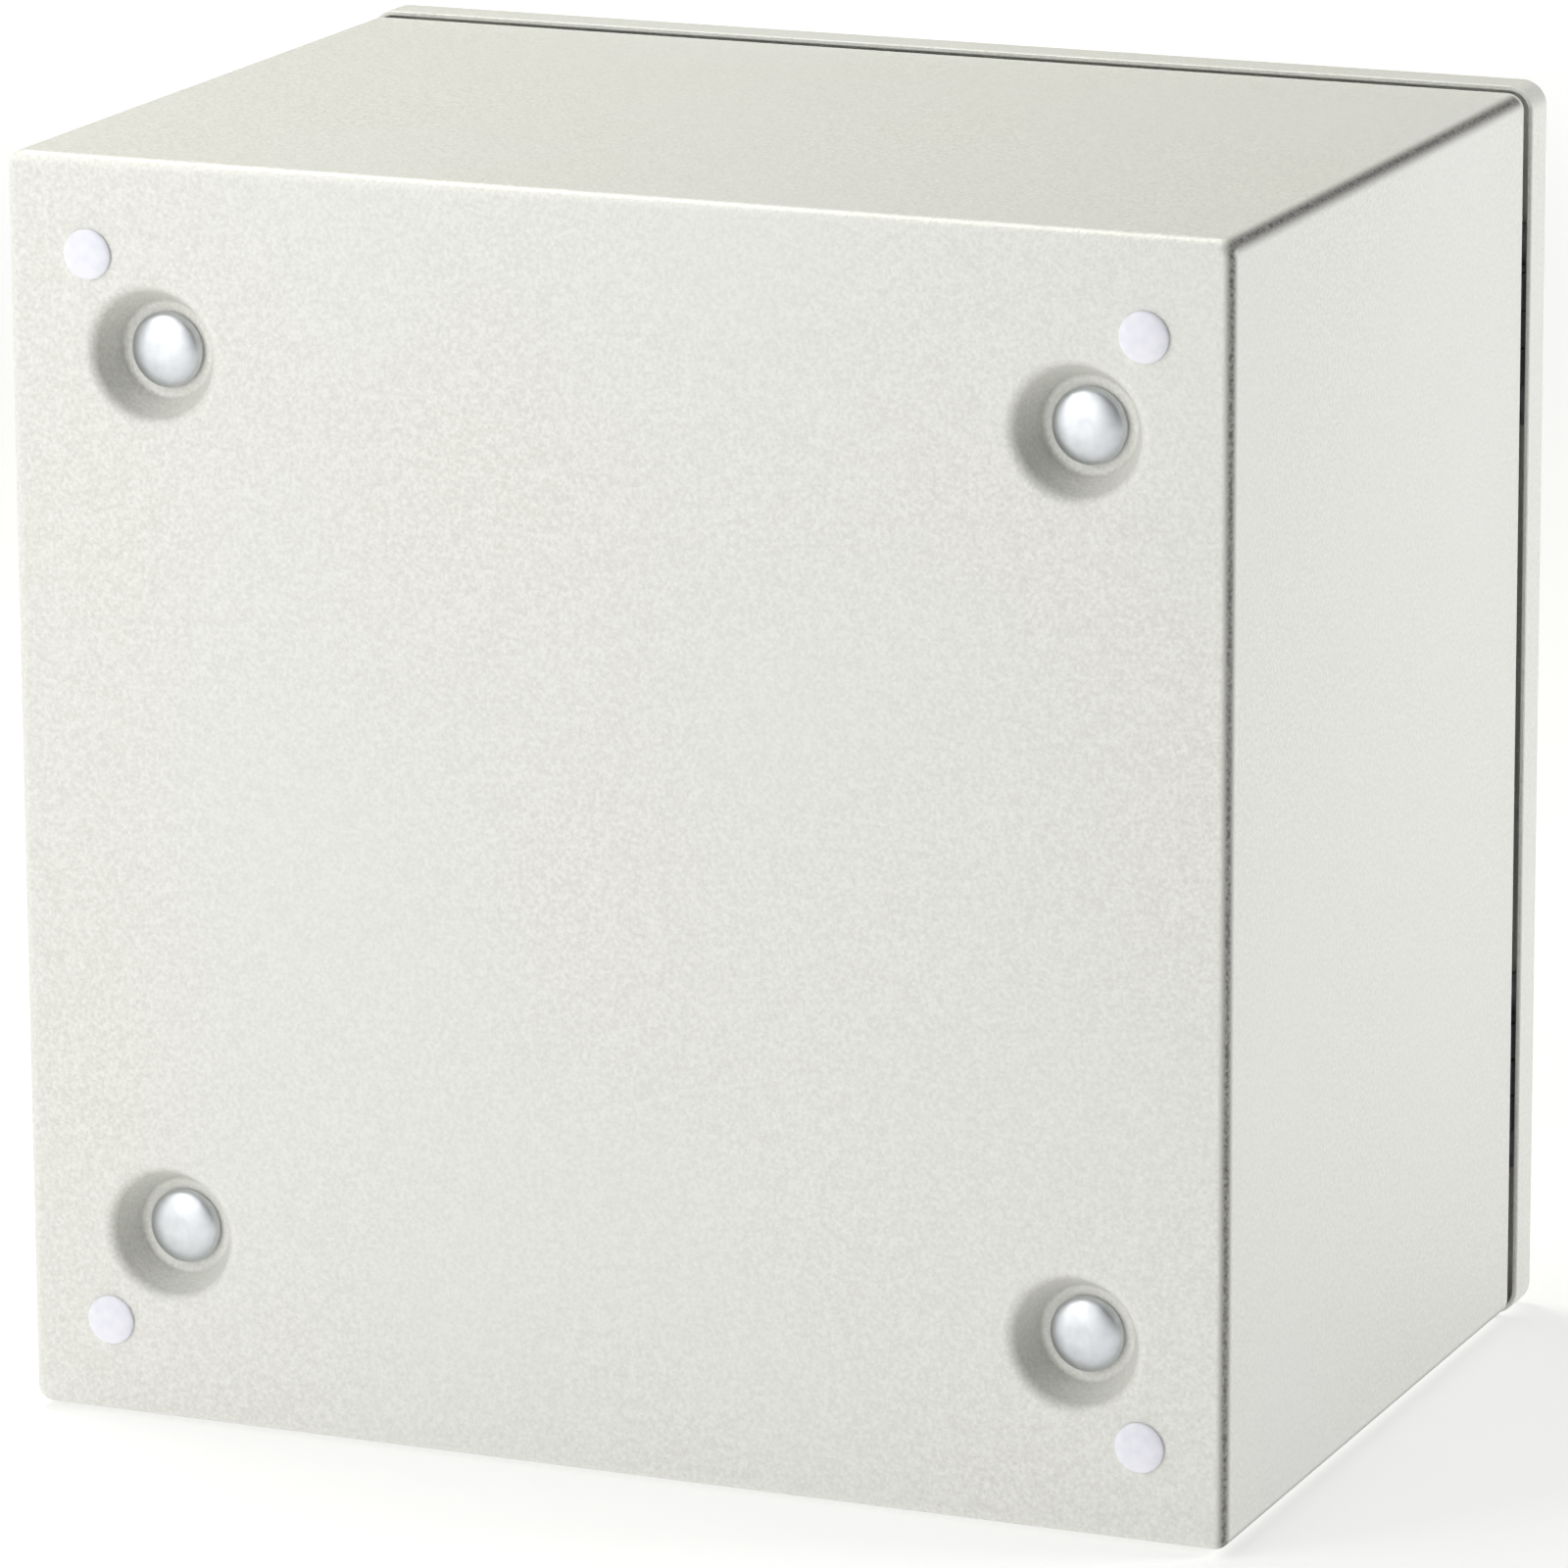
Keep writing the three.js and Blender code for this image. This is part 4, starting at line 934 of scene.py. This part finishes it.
hingeSet = {
    "knuckleR": 3.5, "knuckleWidth": 8.7, "knuckleGap": 0.3, "edge": 0.2,
    "pinHole": 2.1, "pinR": 2.0, "pinPoint": 0.4, "pinHeadR": 2.9, "pinHeadHeight": 1.2,
    "armThickness": 2.5, "armFront": -2.2, "footThickness": 2.5, "elbow": 2.4,
    "armInset": 4.285,      # the arm's outer face stands inside the foot's edge
    "leafThickness": 1.6, "leafCorner": 1.5, "screwFromPivot": 10.36, "screwZ": 18.8,
    "studX": 4.0, "studHole": 2.3, "webHalf": 2.45,
}
screwSet = {
    "r": 1.75, "holeR": 2.05, "headR": 3.2, "headHeight": 1.7, "proud": 0.15, "length": 6.0, "pitch": 0.7,
    "slotWidth": 1.0, "slotLength": 3.4, "slotDepth": 1.1,
}


def drawCountersunk(bm):
    size = screwSet
    top, headR = size["proud"], size["headR"]
    head = [(0, top), (headR - 0.1, top), (headR, top + 0.15), (size["r"] + 0.1, size["headHeight"])]
    turned(bm, head + threadRun(size["r"], size["headHeight"] + 0.3, size["length"], size["pitch"])
           + [(0, size["length"])], "Y", count=32, pitch=size["pitch"])


def cutCross(obj, size, top, sign=1):
    for turn in (0, 1):
        w, l = size["slotWidth"], size["slotLength"]
        arm = (l, w) if turn else (w, l)

        def draw(bm):
            rows = [(1.0, top - sign * 0.5), (1.0, top), (0.5, top + sign * size["slotDepth"])]
            loops = [addLoop(bm, [Vector((su * arm[0] / 2 * share, y, sv * arm[1] / 2 * share))
                                  for su, sv in ((1, 1), (-1, 1), (-1, -1), (1, -1))]) for share, y in rows]
            bridgeAll(bm, loops)
            bm.faces.new(loops[0])
            bm.faces.new(loops[-1])
        combine(obj, draw, "DIFFERENCE")
    return obj


def drawPin(bm):
    size = hingeSet
    low, high = cadBox("hinge_pin_lower")
    half, rise, point = (high.z - low.z) / 2, size["pinHeadHeight"], size["pinPoint"]
    seat = half - rise
    turned(bm, [(0, -half), (size["pinR"] - point, -half), (size["pinR"], point - half), (size["pinR"], seat)]
           + domedHead(size["pinHeadR"], seat, rise, 0.15, 6), "Z", count=40)


def bodyLeaf(name, pivot, node):
    # gooseneck: knuckle, arm round the door pan's path, and a foot screwed to the flange
    low, high = cadBox(node)
    size = hingeSet
    half = size["knuckleWidth"] / 2
    t, front = size["armThickness"], size["armFront"]
    footBack, footOut = high.y - pivot.y, high.x - pivot.x
    footFront = footBack - size["footThickness"]
    footIn = 2 * size["screwFromPivot"] - footOut
    armOut = footOut - size["armInset"]
    elbow = size["elbow"]

    def arm(bm):
        line = [(0, front)] + arc(armOut - elbow, front + elbow, elbow, -90, 0, 6)
        line += [(armOut, footFront + t / 2), (armOut - t, footFront + t / 2)]
        line += arc(armOut - t - 0.4, front + t + 0.4, 0.4, 0, -90, 3) + [(0, front + t)]
        extrude(bm, line, 0.05 - half, half - 0.05)

    def knuckle(bm):
        turned(bm, rod(size["knuckleR"], -half, half, size["edge"], size["edge"]), "Z", count=48)

    def foot(bm):
        sunk = [(screwSet["headR"] + 0.3, footFront), (screwSet["holeR"], footFront + screwSet["headHeight"]),
                (screwSet["holeR"], footBack)]
        faces = plateLoops(bm, ((footIn + footOut) / 2, 0), footOut - footIn, high.z - low.z,
                           size["leafCorner"], footFront, footBack, size["edge"], "Y", 5,
                           [(sunk, (size["screwFromPivot"], side * size["screwZ"])) for side in (-1, 1)])
        for face in faces:
            fillFlat(bm, face)

    def bore(bm):
        turned(bm, rod(size["pinHole"], -half - 1, half + 1), "Z", count=40)

    leaf = combine(combine(solid(name, arm), knuckle), foot)
    return combine(leaf, bore, "DIFFERENCE")


def doorLeaf(name, pivot, node):
    low, high = cadBox(node)
    size = hingeSet
    plateFront, edgeX, farX = low.y - pivot.y, low.x - pivot.x, high.x - pivot.x
    plateBack = plateFront + size["leafThickness"]
    if edgeX < -size["knuckleR"] + 0.01:
        edgeX = -2.0                    # the knuckle reaches further than the plate
    half, halfKnuckle = (high.z - low.z) / 2, size["knuckleWidth"] / 2

    def plate(bm):
        hole = [(size["studHole"], plateFront), (size["studHole"], plateBack)]
        faces = plateLoops(bm, ((edgeX + farX) / 2, 0), farX - edgeX, 2 * half, size["leafCorner"],
                           plateFront, plateBack, size["edge"], "Y", 5,
                           [(hole, (size["studX"], side * size["screwZ"])) for side in (-1, 1)])
        for face in faces:
            fillFlat(bm, face)

    leaf = solid(name, plate)
    for side in (-1, 1):
        near = halfKnuckle + size["knuckleGap"]
        z0, z1 = sorted((side * near, side * (near + size["knuckleWidth"])))

        def knuckle(bm):
            turned(bm, rod(size["knuckleR"], z0, z1, size["edge"], size["edge"]), "Z", count=48)

        def web(bm):
            block(bm, (-size["webHalf"], plateFront + 0.8, z0 + 0.05), (size["webHalf"], 0, z1 - 0.05))

        def bore(bm):
            turned(bm, rod(size["pinHole"], z0 - 0.2, z1 + 0.2), "Z", count=40)

        leaf = combine(combine(leaf, web), knuckle)
        leaf = combine(leaf, bore, "DIFFERENCE")
    return leaf


for hinge in levels:
    pinNode, leafNode, doorNode = [f"hinge_{part}_{hinge}" for part in ("pin", "body_leaf", "door_leaf")]
    pinAt = cadMiddle(pinNode)
    pivot = Vector((pinAt.x, pinAt.y, cadMiddle(leafNode).z))
    addAlike("pin", "hingePin_" + hinge, lambda own: solid(own, drawPin),
             "zinc_cast", "cabinet_body", [pinNode], pinAt)
    addAlike("bodyLeaf", "hingeBodyLeaf_" + hinge, lambda own: bodyLeaf(own, pivot, leafNode),
             "zinc_cast", "cabinet_body", [leafNode], pivot, 30)
    addAlike("doorLeaf", "hingeDoorLeaf_" + hinge, lambda own: doorLeaf(own, pivot, doorNode),
             "zinc_cast", "door", [doorNode], pivot, 30)
    for end in levels:
        label = f"{hinge}_hinge_{end}"
        screwNode, nutNode = label + "_screw", label + "_nut"
        screwAt, nutAt = cadMiddle(screwNode), cadMiddle(nutNode)
        screwAt.y = cadBox(screwNode)[0].y - screwSet["proud"]
        addAlike("hingeScrew", "hingeScrew_" + label,
                 lambda own: cutCross(solid(own, drawCountersunk), screwSet, screwSet["proud"]),
                 "zinc_plate", "cabinet_body", [screwNode], screwAt)
        length = cadBox(nutNode)[1].y + studSet["leafStud"]["tail"] - doorInner
        addStud("leafStud_" + label, "leafStud", "door", "door_panel", (nutAt.x, doorInner, nutAt.z),
                length, "Y")
        addFixing("leafNut_" + label, nutNode, "M4", "door")
print("hinges ready")


# quarter-turn latch

latchSet = {
    "flangeR": 14.0, "flangeThickness": 3.4, "flangeEdge": 1.2, "barrelR": 10.0, "barrelPitch": 1.5,
    "rotorR": 6.5, "rotorHeadR": 9.5, "rotorHeadThickness": 2.5, "running": 0.1,
    "keyR": 4.8, "keyDepth": 7.0, "postR": 2.4, "bitWidth": 3.0, "square": 8.0,
    "camWidth": 14.0,
    "screwHeadR": 5.5, "screwHeadHeight": 3.0, "screwR": 2.0, "screwLength": 9.0,
    "nutFlats": 27.0, "nutThickness": 5.0,
}
latchLow, latchHigh = cadBox("latch_housing")
camLow, camHigh = cadBox("latch_cam")
axisPoint = Vector((latchAt.x, 0, latchAt.z))


def drawHousing(bm):
    size = latchSet
    front, rear, flangeR, edge = latchLow.y, latchHigh.y, size["flangeR"], size["flangeEdge"]
    bore, seatR = size["rotorR"] + size["running"], size["rotorHeadR"] + size["running"]
    seatY, flangeRear = front + size["rotorHeadThickness"] + 0.3, front + size["flangeThickness"]
    profile = [(bore, rear - 0.3), (bore, seatY), (seatR, seatY), (seatR, front + 0.2), (seatR + 0.2, front)]
    profile += arc(flangeR - edge, front + edge, edge, -90, 0, 6)
    profile += [(flangeR, flangeRear - 0.2), (flangeR - 0.2, flangeRear), (size["barrelR"], flangeRear)]
    profile += threadRun(size["barrelR"], flangeRear + 0.8, rear, size["barrelPitch"], 8)
    profile += [(bore + 0.3, rear)]
    turned(bm, profile, "Y", count=64, closed=True, pitch=size["barrelPitch"])


def drawRotorHead(bm):
    size = latchSet
    front, headR, r = latchLow.y, size["rotorHeadR"], size["rotorR"]
    seat = front + size["rotorHeadThickness"]
    turned(bm, [(0, front), (headR - 0.3, front), (headR, front + 0.3), (headR, seat), (r, seat),
                (r, latchHigh.y), (0, latchHigh.y)], "Y", count=56)


def drawSquare(bm):
    half = latchSet["square"] / 2
    block(bm, (-half, latchHigh.y - 2, -half), (half, camHigh.y - 0.3, half))


def drawKeyWell(bm):
    r, front = latchSet["keyR"], latchLow.y
    end = front + latchSet["keyDepth"]
    turned(bm, [(0, front - 1), (r + 0.5, front - 1), (r + 0.3, front - 0.01), (r, front + 0.4),
                (r, end), (0, end)], "Y", count=48)


def drawKeyPost(bm):
    front = latchLow.y
    turned(bm, rod(latchSet["postR"], front + 1, front + latchSet["keyDepth"] + 1, 0.3), "Y", count=32)


def drawKeyBit(bm):
    size = latchSet
    half, reach, front = size["bitWidth"] / 2, size["keyR"] + 0.5, latchLow.y
    block(bm, (-half, front + 1.05, -reach), (half, front + size["keyDepth"] + 0.9, reach))


def drawScrewHole(bm):
    start = camHigh.y - latchSet["screwLength"]
    turned(bm, rod(latchSet["screwR"] + 0.3, start, camHigh.y + 1), "Y", count=24)


def drawCam(bm):
    size = latchSet
    half, r = size["camWidth"] / 2, size["camWidth"] / 2
    reach, tail = camHigh.z - latchAt.z, camLow.z - latchAt.z
    line = [(-half, tail + 2), (2 - half, tail), (half - 2, tail), (half, tail + 2)]
    line += arc(0, reach - r, r, 0, 180, 16)
    loops = []
    for share, y in ((0.97, camLow.y), (1, camLow.y + 0.35), (1, camHigh.y - 0.35), (0.97, camHigh.y)):
        middle = (reach + tail) / 2
        loops.append(addLoop(bm, [Vector((u * share, y, middle + (v - middle) * share)) for u, v in line]))
    bridgeAll(bm, loops)
    hole = size["square"] / 2 + 0.3
    square = [addLoop(bm, roundRect(2 * hole, 2 * hole, 0.4, y, steps=3)) for y in (camLow.y, camHigh.y)]
    bridge(bm, *square)
    fillFlat(bm, [loops[0], square[0]])
    fillFlat(bm, [loops[-1], square[1]])


def drawCamScrew(bm):
    size = latchSet
    seat = camHigh.y + 0.3
    tip = seat - size["screwLength"]
    shank = threadRun(size["screwR"], seat - 0.4, tip, 0.7)[::-1] + [(size["screwR"], seat)]
    head = domedHead(size["screwHeadR"], seat, size["screwHeadHeight"], 0.2, 8)
    turned(bm, [(0, tip)] + shank + head, "Y", count=40, pitch=0.7)


def drawLatchSeal(bm):
    low, high = cadBox("latch_seal")
    outer, inner, e = (high.x - low.x) / 2, latchSet["barrelR"] + 0.3, 0.25
    turned(bm, [(inner, low.y), (inner, high.y), (outer - e, high.y), (outer, high.y - e),
                (outer, low.y + e), (outer - e, low.y)], "Y", count=56, closed=True)


finishPiece(solid("latchHousing", drawHousing), "lock_cast", "door", ["latch_housing"], axisPoint)
finishPiece(solid("latchSeal", drawLatchSeal), "foam", "door", ["latch_seal"], axisPoint)
drawLatchNut = drawNut(latchSet["nutFlats"], latchSet["nutThickness"], latchSet["barrelR"] + 0.3, "Y", 96)
finishPiece(solid("latchNut", drawLatchNut), "zinc_plate", "door", ["latch_nut"], cadMiddle("latch_nut"),
            sharp=28)

rotor = combine(solid("latchRotor", drawRotorHead), drawSquare)
rotor = combine(rotor, drawKeyWell, "DIFFERENCE")
rotor = combine(combine(rotor, drawKeyPost), drawKeyBit)
rotor = combine(rotor, drawScrewHole, "DIFFERENCE")
finishPiece(rotor, "lock_cast", "latch_rotor", ["latch_rotor"], axisPoint, sharp=30)
finishPiece(solid("latchCam", drawCam), "zinc_plate", "latch_rotor", ["latch_cam"], axisPoint)
camScrewCross = {"slotWidth": 1.3, "slotLength": 5.0, "slotDepth": 1.8}
camScrew = cutCross(solid("camScrew", drawCamScrew), camScrewCross, cadBox("latch_cam_screw")[1].y, -1)
finishPiece(camScrew, "zinc_plate", "latch_rotor", ["latch_cam_screw"], axisPoint, sharp=30)
print("latch ready")


# floor, lights and camera

floorSet = {"size": 16.0, "drop": 0.0003, "colours": ("#bfbfbe", "#c4c4c2"), "glow": 0.55}
lightSet = {
    "world": ("#f4f4f8", 0.082),
    "key": {"from": (0.38, 0.87, 0.24), "aim": (0, 0, 0.15), "distance": 1.9, "size": 1.5,
            "power": 16.0, "colour": "#fffffd"},
    "upper": {"from": (0.50, 0.55, 0.67), "aim": (0.05, 0, 0.2), "distance": 1.1, "size": 0.6,
            "power": 4.0, "colour": "#ffffff"},
    "side": {"from": (-0.93, -0.30, 0.18), "aim": (-0.15, 0, 0.33), "distance": 0.9, "size": 0.35,
            "power": 5.1, "colour": "#ffffff"},
    "overhead": {"from": (0.35, -0.15, 0.92), "aim": (0, 0, 0.15), "distance": 1.5, "size": 0.8,
            "power": 16.2, "colour": "#fffff6"},
    "far": {"from": (0.25, -0.2, 1), "aim": (1.0, -2.2, 0), "distance": 1.7, "size": 1.4,
            "power": 11.0, "colour": "#ffffff", "spread": 80},
}
cameraSet = {"azimuth": 202.99, "elevation": 14.156, "roll": -0.287, "distance": 2.2928,
             "across": -0.0023, "upward": -0.0103, "lens": 224.1, "sensor": 36}


def paleFloor():
    # matt white studio board, faintly lit from within so that no hard shadow stays on it
    material, tree, where = newMaterial("paleFloor")
    tone = addNode(tree, "TexNoise", {
        "Vector": where, "Scale": patternScale(900), "Detail": 1.0,
    }).outputs["Fac"]
    share = addNode(tree, "MapRange", [tone, *noiseRange, 0, 1]).outputs[0]
    first, second = floorSet["colours"]
    colour = addNode(tree, "Mix", {"Factor": share, 6: first, 7: second}, data_type="RGBA").outputs[2]
    shader = addNode(tree, "BsdfPrincipled", {
        "Base Color": colour, "Roughness": 0.9, "Specular IOR Level": 0.1,
        "Emission Color": "#ffffff", "Emission Strength": floorSet["glow"],
    })
    addNode(tree, "OutputMaterial", [shader.outputs["BSDF"]])
    return material


floorBm = bmesh.new()
bmesh.ops.create_grid(floorBm, x_segments=8, y_segments=8, size=floorSet["size"] / 2)
floor = bpy.data.objects.new("floor", toMesh("floor", floorBm))
scene.collection.objects.link(floor)
floor.location.z = cadBounds[0].z - floorSet["drop"]
floor.data.materials.append(paleFloor())

world = bpy.data.worlds.new("studio")
world.use_nodes = True
ambient = world.node_tree.nodes["Background"].inputs
ambient["Color"].default_value = linear(lightSet["world"][0])
ambient["Strength"].default_value = lightSet["world"][1]
scene.world = world


def addSoftbox(name, size):
    light = bpy.data.lights.new(name, "AREA")
    light.shape, light.size, light.energy = "SQUARE", size["size"], size["power"]
    light.color, light.spread = linear(size["colour"])[:3], math.radians(size.get("spread", 180))
    lamp = bpy.data.objects.new(name, light)
    scene.collection.objects.link(lamp)
    away = Vector(size["from"]).normalized()
    lamp.location = Vector(size["aim"]) + away * size["distance"]
    lamp.rotation_euler = away.to_track_quat("Z", "Y").to_euler()
    lamp.visible_camera = False         # the lamps stay out of every view


for name in [k for k in lightSet if k != "world"]:
    addSoftbox(name + "Light", lightSet[name])

middle = (cadBounds[0] + cadBounds[1]) / 2
azimuth, elevation, roll = [math.radians(cameraSet[k]) for k in ("azimuth", "elevation", "roll")]
back = Vector((math.sin(azimuth) * math.cos(elevation), -math.cos(azimuth) * math.cos(elevation),
               math.sin(elevation)))
right = (-back).cross(Vector((0, 0, 1))).normalized()
upward = right.cross(-back)
right, upward = (math.cos(roll) * right + math.sin(roll) * upward,
                 math.cos(roll) * upward - math.sin(roll) * right)
cameraData = bpy.data.cameras.new("camera")
cameraData.lens, cameraData.sensor_width = cameraSet["lens"], cameraSet["sensor"]
cameraData.clip_start, cameraData.clip_end = 0.05, 60
camera = bpy.data.objects.new("camera", cameraData)
scene.collection.objects.link(camera)
camera.matrix_world = Matrix.Translation(
    middle + right * cameraSet["across"] + upward * cameraSet["upward"] + back * cameraSet["distance"]
) @ Matrix((right, upward, back)).transposed().to_4x4()
scene.camera = camera
print("lights and camera ready")
